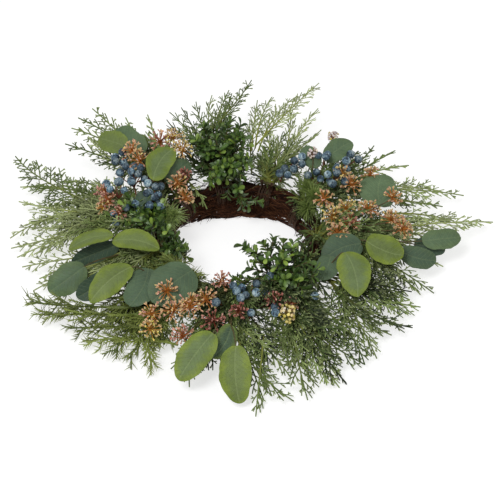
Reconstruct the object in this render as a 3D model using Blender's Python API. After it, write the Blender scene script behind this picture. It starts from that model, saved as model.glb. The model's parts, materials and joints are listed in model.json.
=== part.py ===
"""Artificial foliage wreath: a twisted vine ring and eleven wired picks of greenery.

The ring lies on a table at z = 0, +Z up. Shapes are worked out in millimetres and every mesh is
turned to metres when it is made. Each pick is bound to the ring by a wire tie and bends at the
tie's two eyelets, about the ring's tangent. A pick has its own frame: the origin is on that bend
axis, +X points away from the ring's middle, +Y along the ring (counter-clockwise) and +Z up.
Places on the wreath are given as (radius, azimuth, height) around the ring's middle, with azimuth
0 at +X and 90 at +Y.
"""

import math
from typing import NamedTuple

import bmesh
import bpy
from mathutils import Matrix, Vector

MM = 0.001

# The ring: twisted strands of vine round a thin steel hoop.
RING_CENTRE = Vector((-11.0, 17.0, 0.0))
RING_RADIUS = 85.5
BUNDLE_RADIUS = 14.5
STRAND_COUNT = 3
STRAND_RADIUS = 6.3
STRAND_TURNS = 3
STRAND_STATIONS = 48
STRAND_SIDES = 6
HOOP_RADIUS = 1.1
HOOP_STATIONS = 36
HOOP_SIDES = 4

# A tie: an eight-sided sleeve of binding wire with a flat underside, and two eyelets on top.
TIE_BORE = 15.0
TIE_WALL = 1.2
TIE_LENGTH = 16.0
TIE_SIDES = 8
EYELET_RADIUS = 3.9
EYELET_WIRE = 0.8
EYELET_SPACING = 12.0
EYELET_STATIONS = 8
EYELET_SIDES = 3
BUNDLE_HEIGHT = TIE_BORE + TIE_WALL

# The bend at the root of a pick, in the eyelets.
BEND_RADIUS = 87.0
BEND_HEIGHT = BUNDLE_HEIGHT + TIE_BORE + TIE_WALL + EYELET_RADIUS - 0.2
BEND_DOWN = 3.0
BEND_UP = 20.0
KNUCKLE_RADIUS = 2.5
KNUCKLE_LENGTH = 17.0

# The stem that carries a pick, and the wrapped ends of the sprigs bound to it.
STEM_END = Vector((31.0, 0.0, -3.0))
STEM_RADII = (1.9, 1.7)
STEM_SIDES = 6
FROND_ROOT = Vector((31.6, 0.0, -4.0))
FROND_ROOT_WIDTH = 7.0
SPRIG_ROOT_RADIUS = 2.3
SPRIG_ROOTS = {
    "eucalyptus": Vector((25.0, -5.2, 2.4)),
    "berries": Vector((17.0, 5.4, 2.6)),
    "seeds": Vector((9.0, 0.0, 5.6)),
    "boxwood": Vector((2.0, 0.0, 5.9)),
    "pine": Vector((8.0, -5.4, 2.4)),
}

# Greenery.
FROND_THICKNESS = 2.6
FROND_EDGE = 1.5
FROND_NOTCH = 0.42
FROND_TIP_WIDTH = 3.0
CEDAR_WIDTH = 17.0
JUNIPER_WIDTH = 15.0
LEAF_THICKNESS = 1.2
ROD_RADIUS = 1.1
ROD_SIDES = 4
ROD_STATIONS = 4
BALL_SIDES = 7
BALL_PROFILE = ((-0.98, 0.2), (-0.5, 0.87), (0.5, 0.87), (0.98, 0.2))
UMBEL_PROFILE = ((-0.75, 0.12), (0.1, 0.95), (0.4, 0.8), (0.6, 0.15))
BERRY_RADIUS = 4.8
UMBEL_RADIUS = 11.0
BOXWOOD_RADIUS = 9.5
CROWN_LEAVES = 5
CROWN_DENT = 0.6
CROWN_PROFILE = ((-1.0, 0.25), (0.0, 1.0), (1.0, 0.3))
PINE_RADII = (1.2, 3.4, 4.2, 1.4)

COLOURS = {
    "vine": (0.09, 0.045, 0.028),
    "steel": (0.42, 0.42, 0.43),
    "tie_wire": (0.13, 0.085, 0.055),
    "stem": (0.13, 0.11, 0.05),
    "cedar": (0.17, 0.26, 0.12),
    "juniper": (0.14, 0.21, 0.06),
    "eucalyptus": (0.2, 0.3, 0.2),
    "berries": (0.13, 0.2, 0.29),
    "seeds": (0.68, 0.38, 0.19),
    "boxwood": (0.1, 0.24, 0.05),
    "pine": (0.19, 0.34, 0.07),
}
ROUGHNESS = {"steel": 0.35, "boxwood": 0.4, "berries": 0.55}
METALLIC = {"steel": 0.9, "tie_wire": 0.4}


class Leaf(NamedTuple):
    """A broad leaf: its middle, its size, and how it lies."""

    middle: tuple
    length: float
    width: float
    heading: float
    pitch: float
    roll: float


class Pick(NamedTuple):
    """One wired pick: where it is bound, and where each of its sprigs reaches."""

    azimuth: float
    cedar: list = []
    juniper: list = []
    eucalyptus: list = []
    berries: list = []
    seeds: list = []
    boxwood: list = []
    pine: list = []
    side: float = 1.0


PICKS = [
    Pick(
        azimuth=-5.0,
        cedar=[(281, 10.6, 12), (250, 3.0, 10), (232, -7.0, 8), (216, -17.0, 8)],
        eucalyptus=[
            Leaf((222, 2.0, 34), 60, 32, -4, -8, 30),
            Leaf((196, -10.5, 26), 52, 30, -20, -10, 15),
            Leaf((160, -16.0, 52), 50, 28, -30, -6, 30),
        ],
        seeds=[(112, -9.0, 66), (128, -1.0, 68), (150, 5.5, 58)],
    ),
    Pick(
        azimuth=31.0,
        cedar=[(252, 19.0, 14), (240, 28.0, 16), (232, 36.5, 18), (205, 44.0, 20)],
        eucalyptus=[
            Leaf((168, 20.5, 52), 38, 34, 10, 15, 35),
            Leaf((135, 44.0, 62), 36, 20, 60, 12, 10),
            Leaf((168, 40.5, 66), 38, 22, 35, 8, 10),
        ],
        berries=[(112, 37.5, 58), (121, 32.0, 62), (134, 35.0, 68), (147, 31.5, 66), (116, 28.5, 52)],
        seeds=[(104, 20.0, 66), (120, 22.0, 68), (138, 24.5, 70)],
        pine=[(76, 17.5, 48), (77, 23.0, 44)],
    ),
    Pick(
        azimuth=67.0,
        cedar=[(214, 56.0, 30), (236, 64.0, 44), (240, 71.0, 50), (212, 78.0, 44)],
        berries=[(96, 60.0, 60), (108, 66.0, 62), (112, 58.5, 56), (124, 64.0, 62), (116, 73.0, 56)],
    ),
    Pick(
        azimuth=102.0,
        cedar=[(224, 88.5, 52), (207, 97.0, 46), (214, 106.0, 36), (200, 114.0, 30)],
        boxwood=[(97, 92.0, 80), (104, 99.0, 84), (100, 108.0, 76), (116, 103.0, 74)],
    ),
    Pick(
        azimuth=135.5,
        cedar=[(212, 126.0, 40), (242, 133.0, 40), (226, 141.0, 30), (236, 147.0, 22)],
        eucalyptus=[
            Leaf((178, 141.5, 66), 44, 26, 150, 8, -15),
            Leaf((158, 133.0, 74), 42, 24, 120, 10, -15),
            Leaf((132, 143.0, 62), 38, 22, 160, 5, -20),
        ],
        seeds=[(112, 128.0, 76), (118, 138.0, 82), (104, 144.0, 72)],
    ),
    Pick(
        azimuth=167.5,
        cedar=[(275, 156.5, 24), (246, 164.0, 14), (258, 172.0, 10), (232, 180.0, 8)],
        berries=[
            (100, 164.0, 62),
            (112, 167.0, 60),
            (116, 160.0, 70),
            (128, 166.0, 70),
            (136, 158.0, 66),
            (142, 167.0, 58),
        ],
        seeds=[(106, 176.0, 60), (128, 176.0, 56)],
        side=-1.0,
    ),
    Pick(
        azimuth=198.0,
        cedar=[(238, 187.5, 10), (239, 195.5, 8), (226, 203.0, 8)],
        eucalyptus=[
            Leaf((168, 191.0, 56), 48, 24, 176, -4, -30),
            Leaf((132, 196.5, 62), 48, 24, 182, 4, -30),
            Leaf((200, 202.0, 38), 46, 32, 215, -14, -10),
        ],
        boxwood=[(68, 204.0, 44), (74, 196.0, 46), (76, 209.0, 48)],
    ),
    Pick(
        azimuth=229.0,
        juniper=[(216, 215.5, 10), (228, 221.0, 8), (208, 229.0, 8), (190, 239.0, 8)],
        eucalyptus=[
            Leaf((178, 218.0, 52), 54, 30, 222, -16, -10),
            Leaf((136, 223.0, 56), 44, 38, 225, -8, -10),
        ],
        seeds=[(116, 238.5, 68), (146, 239.0, 66), (176, 240.0, 52)],
    ),
    Pick(
        azimuth=266.0,
        cedar=[(261, 276.5, 8), (226, 266.0, 8), (214, 257.0, 8), (200, 250.0, 10)],
        eucalyptus=[
            Leaf((196, 255.0, 36), 54, 32, 250, -20, 0),
            Leaf((206, 270.0, 26), 60, 30, 272, -20, 0),
        ],
        berries=[(108, 265.0, 54), (112, 270.0, 60), (118, 275.5, 58), (106, 279.0, 60), (130, 269.0, 52)],
        seeds=[(116, 252.5, 64), (146, 251.5, 58), (150, 261.0, 54)],
    ),
    Pick(
        azimuth=299.0,
        cedar=[(244, 290.0, 8), (236, 298.0, 8), (214, 306.0, 8)],
        berries=[(116, 308.0, 46), (126, 303.0, 48), (136, 307.5, 44)],
        boxwood=[(78, 293.0, 58), (86, 300.0, 64), (80, 304.0, 56), (92, 294.0, 60)],
    ),
    Pick(
        azimuth=325.0,
        cedar=[(214, 315.5, 8), (208, 324.5, 8), (216, 333.5, 8)],
        eucalyptus=[
            Leaf((150, 321.0, 46), 52, 30, 318, -16, 10),
            Leaf((124, 331.5, 56), 36, 20, 335, -6, 20),
        ],
    ),
]


def material(kind):
    """The plain finish of one kind of piece, made once."""
    found = bpy.data.materials.get(kind)
    if found:
        return found
    made = bpy.data.materials.new(kind)
    made.use_nodes = True
    shader = made.node_tree.nodes["Principled BSDF"]
    shader.inputs["Base Color"].default_value = (*COLOURS[kind], 1.0)
    shader.inputs["Roughness"].default_value = ROUGHNESS.get(kind, 0.65)
    shader.inputs["Metallic"].default_value = METALLIC.get(kind, 0.0)
    made.diffuse_color = (*COLOURS[kind], 1.0)
    return made


def empty(name, parent=None):
    """A parent to place things by."""
    made = bpy.data.objects.new(name, None)
    made.parent = parent
    bpy.context.scene.collection.objects.link(made)
    return made


def place(name, mesh, kind, parent):
    """One named object, from a mesh in millimetres."""
    bmesh.ops.recalc_face_normals(mesh, faces=mesh.faces)
    mesh.transform(Matrix.Scale(MM, 4))
    data = bpy.data.meshes.new(name)
    mesh.to_mesh(data)
    mesh.free()
    data.materials.append(material(kind))
    data.shade_smooth()
    data.set_sharp_from_angle(angle=math.radians(40))
    made = bpy.data.objects.new(name, data)
    made.parent = parent
    bpy.context.scene.collection.objects.link(made)
    return made


def unite(name, core, shells, kind, parent):
    """One closed body: the core, with every shell that meets it joined on."""
    made = place(name, core, kind, parent)
    helper = place(f"{name}.shells", shells, kind, parent)
    helper.hide_render = True
    helper.display_type = "WIRE"
    join = made.modifiers.new("join", "BOOLEAN")
    join.operation = "UNION"
    join.solver = "EXACT"
    join.use_self = True
    join.object = helper
    return made


def loft(mesh, rings, closed=False):
    """Skins a list of equal rings of points, with flat ends unless it closes on itself."""
    rows = [[mesh.verts.new(point) for point in ring] for ring in rings]
    count = len(rows[0])
    pairs = list(zip(rows, rows[1:]))
    if closed:
        pairs.append((rows[-1], rows[0]))
    for near, far in pairs:
        for i in range(count):
            j = (i + 1) % count
            mesh.faces.new((near[i], near[j], far[j], far[i]))
    if not closed:
        mesh.faces.new(reversed(rows[0]))
        mesh.faces.new(rows[-1])


def side_and_up(along, up=Vector((0, 0, 1))):
    """Two directions across a path: level sideways, and square to both."""
    side = along.cross(up)
    if side.length < 1e-6:
        side = Vector((0, 1, 0))
    side.normalize()
    return side, side.cross(along).normalized()


def directions(points):
    """The direction of a path at each of its points."""
    last = len(points) - 1
    return [(points[min(i + 1, last)] - points[max(i - 1, 0)]).normalized() for i in range(last + 1)]


def tube(mesh, points, radii, sides):
    """A round rod along a path."""
    rings = []
    for point, along, radius in zip(points, directions(points), radii):
        side, up = side_and_up(along)
        angles = [2 * math.pi * i / sides for i in range(sides)]
        rings.append([point + (side * math.cos(a) + up * math.sin(a)) * radius for a in angles])
    loft(mesh, rings)


def turned(mesh, middle, along, radius, profile, sides):
    """A turned shape: each profile step is a height along the axis and a radius, in radii."""
    path = [middle + along * (radius * up) for up, _ in profile]
    tube(mesh, path, [radius * out for _, out in profile], sides)


def crown(mesh, middle, along, radius):
    """A tuft of small leaves: a turned bud whose sides go in and out."""
    side, up = side_and_up(along)
    rings = []
    for height, out in CROWN_PROFILE:
        ring = []
        for i in range(2 * CROWN_LEAVES):
            angle = math.pi * i / CROWN_LEAVES
            reach = radius * out * (CROWN_DENT if i % 2 else 1.0)
            ring.append(
                middle + along * (radius * height) + (side * math.cos(angle) + up * math.sin(angle)) * reach
            )
        rings.append(ring)
    loft(mesh, rings)


def ball(mesh, middle, radius):
    """A faceted ball."""
    turned(mesh, middle, Vector((0, 0, 1)), radius, BALL_PROFILE, BALL_SIDES)


def leaf_axes(leaf, turn):
    """A leaf's directions in a frame turned by an angle: along it, across it, and out of its face."""
    heading = math.radians(leaf.heading) - turn
    pitch = math.radians(leaf.pitch)
    level = math.cos(pitch)
    along = Vector((math.cos(heading) * level, math.sin(heading) * level, math.sin(pitch)))
    side, up = side_and_up(along)
    roll = math.radians(leaf.roll)
    face = up * math.cos(roll) + side * math.sin(roll)
    return along, face.cross(along), face


def leaf_shell(mesh, base, along, across, face, length, width, stations=6):
    """A broad leaf with a raised rim: an oval outline, dished along its midrib."""
    rings = []
    for i in range(stations):
        t = i / (stations - 1)
        half = 0.5 * width * max(math.sin(math.pi * t**0.85) ** 0.7, 0.09)
        arch = face * (-0.10 * length * (2 * t - 1) ** 2)
        spine = base + along * (length * t) + arch
        dish = face * (0.22 * half)
        thick = face * (0.5 * LEAF_THICKNESS)
        rings.append(
            [
                spine + across * half + dish + thick,
                spine + thick,
                spine - across * half + dish + thick,
                spine - across * half + dish - thick,
                spine - thick,
                spine + across * half + dish - thick,
            ]
        )
    loft(mesh, rings)


def bow(root, tip, height, count=ROD_STATIONS):
    """A curved path from a root to a tip, drawn towards a height along its way."""
    lift = Vector((root.x * 0.62 + tip.x * 0.38, root.y * 0.62 + tip.y * 0.38, height))
    steps = [i / (count - 1) for i in range(count)]
    return [root * (1 - t) ** 2 + lift * (2 * t * (1 - t)) + tip * t**2 for t in steps]


class Frame:
    """A pick's own frame, and the way into it from places on the wreath."""

    def __init__(self, number, pick, wreath):
        self.turn = math.radians(pick.azimuth)
        self.number = number
        self.side = pick.side
        self.parent = empty(f"bend_{number:02d}", wreath)
        out = Vector((math.cos(self.turn), math.sin(self.turn), 0))
        self.parent.location = (out * BEND_RADIUS + Vector((0, 0, BEND_HEIGHT))) * MM
        self.parent.rotation_euler = (0, 0, self.turn)

    def point(self, radius, azimuth, height):
        """A place on the wreath, in this pick's frame."""
        off = math.radians(azimuth) - self.turn
        return Vector((radius * math.cos(off) - BEND_RADIUS, radius * math.sin(off), height - BEND_HEIGHT))

    def root(self, kind):
        """Where a sprig of this kind is bound to the stem."""
        return SPRIG_ROOTS[kind] * Vector((1.0, self.side, 1.0))

    def name(self, kind):
        return f"{kind}_{self.number:02d}"


def build_strand(index, wreath):
    """One strand of vine, wound round the hoop and joined to itself."""
    orbit = BUNDLE_RADIUS - STRAND_RADIUS
    phase = 2 * math.pi * index / STRAND_COUNT
    middles = []
    for i in range(STRAND_STATIONS):
        around = 2 * math.pi * i / STRAND_STATIONS
        twist = phase + STRAND_TURNS * around
        reach = RING_RADIUS + orbit * math.cos(twist)
        height = BUNDLE_HEIGHT + orbit * math.sin(twist)
        middles.append(Vector((reach * math.cos(around), reach * math.sin(around), height)))
    rings = []
    for i, middle in enumerate(middles):
        along = (middles[(i + 1) % len(middles)] - middles[i - 1]).normalized()
        side, up = side_and_up(along)
        angles = [2 * math.pi * k / STRAND_SIDES for k in range(STRAND_SIDES)]
        rings.append([middle + (side * math.cos(a) + up * math.sin(a)) * STRAND_RADIUS for a in angles])
    mesh = bmesh.new()
    loft(mesh, rings, closed=True)
    place(f"vine_strand_{index + 1}", mesh, "vine", wreath)


def build_hoop(wreath):
    """The steel hoop that the strands are twisted round."""
    rings = []
    for i in range(HOOP_STATIONS):
        around = 2 * math.pi * i / HOOP_STATIONS
        out = Vector((math.cos(around), math.sin(around), 0))
        angles = [2 * math.pi * k / HOOP_SIDES for k in range(HOOP_SIDES)]
        rings.append(
            [
                out * (RING_RADIUS + HOOP_RADIUS * math.cos(a))
                + Vector((0, 0, BUNDLE_HEIGHT + HOOP_RADIUS * math.sin(a)))
                for a in angles
            ]
        )
    mesh = bmesh.new()
    loft(mesh, rings, closed=True)
    place("core_hoop", mesh, "steel", wreath)


def build_tie(frame):
    """The binding wire: a flat-bottomed sleeve round the ring, and eyelets that hold the stem."""
    to_bundle = Vector((RING_RADIUS - BEND_RADIUS, 0, BUNDLE_HEIGHT - BEND_HEIGHT))
    flats = math.cos(math.pi / TIE_SIDES)
    rings = []
    outer = TIE_BORE + TIE_WALL
    for end, apothem in ((-0.5, TIE_BORE), (-0.5, outer), (0.5, outer), (0.5, TIE_BORE)):
        ring = []
        for i in range(TIE_SIDES):
            angle = 2 * math.pi * (i + 0.5) / TIE_SIDES
            reach = apothem / flats
            corner = Vector((reach * math.cos(angle), end * TIE_LENGTH, reach * math.sin(angle)))
            ring.append(to_bundle + corner)
        rings.append(ring)
    sleeve = bmesh.new()
    loft(sleeve, rings, closed=True)
    eyelets = bmesh.new()
    for end in (-0.5, 0.5):
        rings = []
        for i in range(EYELET_STATIONS):
            around = 2 * math.pi * i / EYELET_STATIONS
            out = Vector((math.cos(around), 0, math.sin(around)))
            ring = []
            for k in range(EYELET_SIDES):
                angle = 2 * math.pi * (k + 0.5) / EYELET_SIDES
                reach = EYELET_RADIUS + EYELET_WIRE * math.cos(angle)
                aside = end * EYELET_SPACING + EYELET_WIRE * math.sin(angle)
                ring.append(out * reach + Vector((0, aside, 0)))
            rings.append(ring)
        loft(eyelets, rings, closed=True)
    unite(frame.name("wire_tie"), sleeve, eyelets, "tie_wire", frame.parent)


def build_stem(frame):
    """The wire stem: a knuckle across the eyelets, and the stub that the sprigs are bound to."""
    half = Vector((0, 0.5 * KNUCKLE_LENGTH, 0))
    knuckle = bmesh.new()
    tube(knuckle, [-half, half], [KNUCKLE_RADIUS] * 2, STEM_SIDES)
    stub = bmesh.new()
    middle = STEM_END * 0.5 + Vector((0, 0, 0.8))
    tube(stub, [Vector((0, 0, 0)), middle, STEM_END], [STEM_RADII[0], *STEM_RADII], STEM_SIDES)
    unite(frame.name("pick_stem"), knuckle, stub, "stem", frame.parent)


def rod(mesh, path):
    """The thin wire stalk of a leaf, berry or seed head."""
    tube(mesh, path, [ROD_RADIUS] * len(path), ROD_SIDES)


def sprig(frame, kind):
    """The start of a sprig: the mesh of its wrapped end, where that is, and a mesh for the rest."""
    core = bmesh.new()
    root = frame.root(kind)
    ball(core, root, SPRIG_ROOT_RADIUS)
    return core, root, bmesh.new()


def build_frond(frame, tips, kind, spray_width):
    """A fan of flat sprays from the end of the stem: a sheet of tapered fingers, made thick."""
    tips = sorted(tips, key=lambda tip: tip[1])
    reaches = [tip[0] for tip in tips]
    azimuths = [tip[1] for tip in tips]
    splits = [0.5 * (low + high) for low, high in zip(azimuths, azimuths[1:])]
    splits = [azimuths[0] - FROND_EDGE, *splits, azimuths[-1] + FROND_EDGE]
    drop = min(tip[2] for tip in tips) - BEND_HEIGHT - FROND_ROOT.z
    sheet = bmesh.new()

    def vertex(radius, azimuth, height, aside=0.0):
        return sheet.verts.new(frame.point(radius, azimuth, height) + Vector((0, aside, 0)))

    roots = [sheet.verts.new(FROND_ROOT + Vector((0, FROND_ROOT_WIDTH * end, 0))) for end in (-0.5, 0.5)]
    notch_radius = BEND_RADIUS + FROND_ROOT.x + FROND_NOTCH * (min(reaches) - BEND_RADIUS - FROND_ROOT.x)
    notch_height = BEND_HEIGHT + FROND_ROOT.z + FROND_NOTCH * drop
    notches = [vertex(notch_radius, azimuth, notch_height) for azimuth in splits]
    middle = len(tips) // 2
    sheet.faces.new((roots[0], notches[middle], roots[1]))
    for number, (low, high) in enumerate(zip(notches, notches[1:])):
        sheet.faces.new((roots[number >= middle], low, high))
        reach, azimuth, height = tips[number]
        waist = notch_radius + 0.45 * (reach - notch_radius)
        waist_height = notch_height + 0.45 * (height - notch_height)
        wide = [vertex(waist, azimuth, waist_height, spray_width * end) for end in (-0.5, 0.5)]
        tip = [vertex(reach, azimuth, height, FROND_TIP_WIDTH * end) for end in (-0.5, 0.5)]
        sheet.faces.new((low, wide[0], wide[1], high))
        sheet.faces.new((wide[0], tip[0], tip[1], wide[1]))
    made = place(frame.name(f"{kind}_fronds"), sheet, kind, frame.parent)
    solid = made.modifiers.new("thickness", "SOLIDIFY")
    solid.thickness = FROND_THICKNESS * MM
    solid.offset = 0.0


def build_cedar(frame, tips):
    """Flat cedar sprays."""
    build_frond(frame, tips, "cedar", CEDAR_WIDTH)


def build_juniper(frame, tips):
    """Narrower sprays of juniper needles."""
    build_frond(frame, tips, "juniper", JUNIPER_WIDTH)


def build_eucalyptus(frame, leaves):
    """Broad leaves, each on its own wire stalk."""
    core, root, shells = sprig(frame, "eucalyptus")
    for leaf in leaves:
        along, across, face = leaf_axes(leaf, frame.turn)
        base = frame.point(*leaf.middle) - along * (0.5 * leaf.length)
        leaf_shell(shells, base, along, across, face, leaf.length, leaf.width)
        meet = base + along * (0.12 * leaf.length) - face * (0.06 * leaf.length)
        rod(shells, bow(root, meet, root.z + 2.0))
    unite(frame.name("eucalyptus_leaves"), core, shells, "eucalyptus", frame.parent)


def build_berries(frame, places):
    """A cluster of round berries on wire stalks."""
    core, root, shells = sprig(frame, "berries")
    for place_of_berry in places:
        middle = frame.point(*place_of_berry)
        rod(shells, bow(root, middle, middle.z - 6.0))
        ball(shells, middle, BERRY_RADIUS)
    unite(frame.name("berry_cluster"), core, shells, "berries", frame.parent)


def build_seeds(frame, places):
    """Umbels of seeds: each a shallow cup of rays with a domed top."""
    core, root, shells = sprig(frame, "seeds")
    for place_of_head in places:
        head = frame.point(*place_of_head)
        rod(shells, bow(root, head, head.z - 8.0))
        along = (head - root + Vector((0, 0, 30))).normalized()
        turned(shells, head, along, UMBEL_RADIUS, UMBEL_PROFILE, BALL_SIDES)
    unite(frame.name("seed_umbels"), core, shells, "seeds", frame.parent)


def build_boxwood(frame, places):
    """Sprigs of small leaves, each a leafy tuft on a wire stalk."""
    core, root, shells = sprig(frame, "boxwood")
    for place_of_tip in places:
        tip = frame.point(*place_of_tip)
        rod(shells, bow(root, tip, max(tip.z - 10.0, root.z + 3.0)))
        crown(shells, tip, (tip - root + Vector((0, 0, 10))).normalized(), BOXWOOD_RADIUS)
    unite(frame.name("boxwood_sprig"), core, shells, "boxwood", frame.parent)


def build_pine(frame, places):
    """A drooping tuft of soft needles, as tapered brushes."""
    core, root, shells = sprig(frame, "pine")
    for place_of_tip in places:
        tip = frame.point(*place_of_tip)
        tube(shells, bow(root, tip, tip.z + 6.0), PINE_RADII, BALL_SIDES)
    unite(frame.name("pine_tuft"), core, shells, "pine", frame.parent)


SPRIGS = {
    "cedar": build_cedar,
    "juniper": build_juniper,
    "eucalyptus": build_eucalyptus,
    "berries": build_berries,
    "seeds": build_seeds,
    "boxwood": build_boxwood,
    "pine": build_pine,
}


def build():
    """The whole wreath."""
    for old in list(bpy.data.objects):
        bpy.data.objects.remove(old)
    wreath = empty("wreath")
    wreath.location = RING_CENTRE * MM
    build_hoop(wreath)
    for index in range(STRAND_COUNT):
        build_strand(index, wreath)
    for number, pick in enumerate(PICKS, start=1):
        frame = Frame(number, pick, wreath)
        build_tie(frame)
        build_stem(frame)
        for kind, make in SPRIGS.items():
            places = getattr(pick, kind)
            if places:
                make(frame, places)
    bpy.context.view_layer.update()


build()
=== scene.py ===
"""The looks of the artificial foliage wreath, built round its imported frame.

Shapes are worked out in millimetres in the row frame and turned to metres when a mesh is made. A
place on the wreath is (radius, azimuth, height) round the ring's middle, in millimetres and
degrees, with azimuth 0 at +X and 90 at +Y. The tables give the places by the number of the pick
that carries them. The random numbers of each piece start from its name.
"""

import json
import math
import zlib
from typing import NamedTuple

import bpy
import numpy as np
from mathutils import Matrix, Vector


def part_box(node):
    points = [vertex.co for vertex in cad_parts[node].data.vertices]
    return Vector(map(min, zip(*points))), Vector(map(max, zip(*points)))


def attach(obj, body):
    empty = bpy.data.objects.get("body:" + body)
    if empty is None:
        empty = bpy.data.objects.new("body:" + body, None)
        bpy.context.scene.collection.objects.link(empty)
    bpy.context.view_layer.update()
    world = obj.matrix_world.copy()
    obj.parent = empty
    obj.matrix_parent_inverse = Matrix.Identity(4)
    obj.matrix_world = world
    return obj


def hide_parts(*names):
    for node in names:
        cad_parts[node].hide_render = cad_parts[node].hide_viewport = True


MM = 0.001
TAU = 2 * math.pi
X_AXIS = np.array((1.0, 0.0, 0.0))
Z_AXIS = np.array((0.0, 0.0, 1.0))


# ---------------------------------------------------------------- the frame

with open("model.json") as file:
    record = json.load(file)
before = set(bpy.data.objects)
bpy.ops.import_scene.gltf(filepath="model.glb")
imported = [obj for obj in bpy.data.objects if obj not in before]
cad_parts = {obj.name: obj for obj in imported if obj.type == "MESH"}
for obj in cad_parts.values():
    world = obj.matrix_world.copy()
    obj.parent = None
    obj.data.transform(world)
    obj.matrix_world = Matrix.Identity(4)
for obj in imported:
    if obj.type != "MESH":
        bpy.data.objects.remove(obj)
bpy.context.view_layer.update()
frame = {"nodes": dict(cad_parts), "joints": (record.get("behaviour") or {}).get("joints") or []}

hoop_low, hoop_high = (np.array(corner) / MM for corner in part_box("core_hoop"))
RING_CENTRE = 0.5 * (hoop_low + hoop_high)
HOOP_RADIUS = 0.5 * (hoop_high[2] - hoop_low[2])
RING_RADIUS = 0.5 * (hoop_high[0] - hoop_low[0]) - HOOP_RADIUS
BUNDLE_RADIUS = 14.5
STRAND_RADIUS = 6.3
STRAND_TURNS = 3
TIE_RADIUS = 15.5


def unit(vectors):
    lengths = np.linalg.norm(vectors, axis=-1, keepdims=True)
    return vectors / np.maximum(lengths, 1e-9)


def at(radius, azimuth, height):
    """The point at a place on the wreath."""
    angle = math.radians(azimuth)
    x = RING_CENTRE[0] + radius * math.cos(angle)
    y = RING_CENTRE[1] + radius * math.sin(angle)
    return np.array((x, y, height))


def heading(azimuth, elevation):
    """The direction at an azimuth and an elevation, in degrees."""
    turn, rise = math.radians(azimuth), math.radians(elevation)
    return np.array((math.cos(rise) * math.cos(turn), math.cos(rise) * math.sin(turn), math.sin(rise)))


class Bend:
    """The bend of one pick, from its joint: where it is, and which way is out."""

    def __init__(self, joint):
        self.body = joint["child"]
        self.number = int(self.body.split("_")[-1])
        self.origin = np.array(joint["pos_m"]) / MM
        offset = self.origin - RING_CENTRE
        self.azimuth = math.degrees(math.atan2(offset[1], offset[0]))
        self.out = heading(self.azimuth, 0)
        self.tangent = np.cross(Z_AXIS, self.out)

    def point(self, out, along, up):
        """A point given from the bend: outwards, along the ring and up."""
        return self.origin + self.out * out + self.tangent * along + Z_AXIS * up


    def name(self, kind):
        """The name of a piece or a node of this pick."""
        return f"{kind}_{self.number:02d}"


BENDS = [Bend(joint) for joint in frame["joints"]]


# ---------------------------------------------------------------- the layout


class Greens(NamedTuple):
    """The cedar or juniper of one pick.

    The sector is from one azimuth to another. The tips of the long sprays are places, each with
    the place of its root where that isn't the end of the stem. Slender is a long spray's width
    over its length. Fill is how many shorter sprays there are, their inner and outer radius, and
    their height at each. Tint is the green, from 0 for dark to 1 for pale. Collar is the inner
    and outer radius, the least and greatest height and the number of the sprays over the ring."""

    sector: tuple
    tips: list
    slender: float
    fill: tuple
    tint: float
    collar: tuple = (64, 144, 32, 58, 30)


GOLDEN = 0.618

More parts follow.
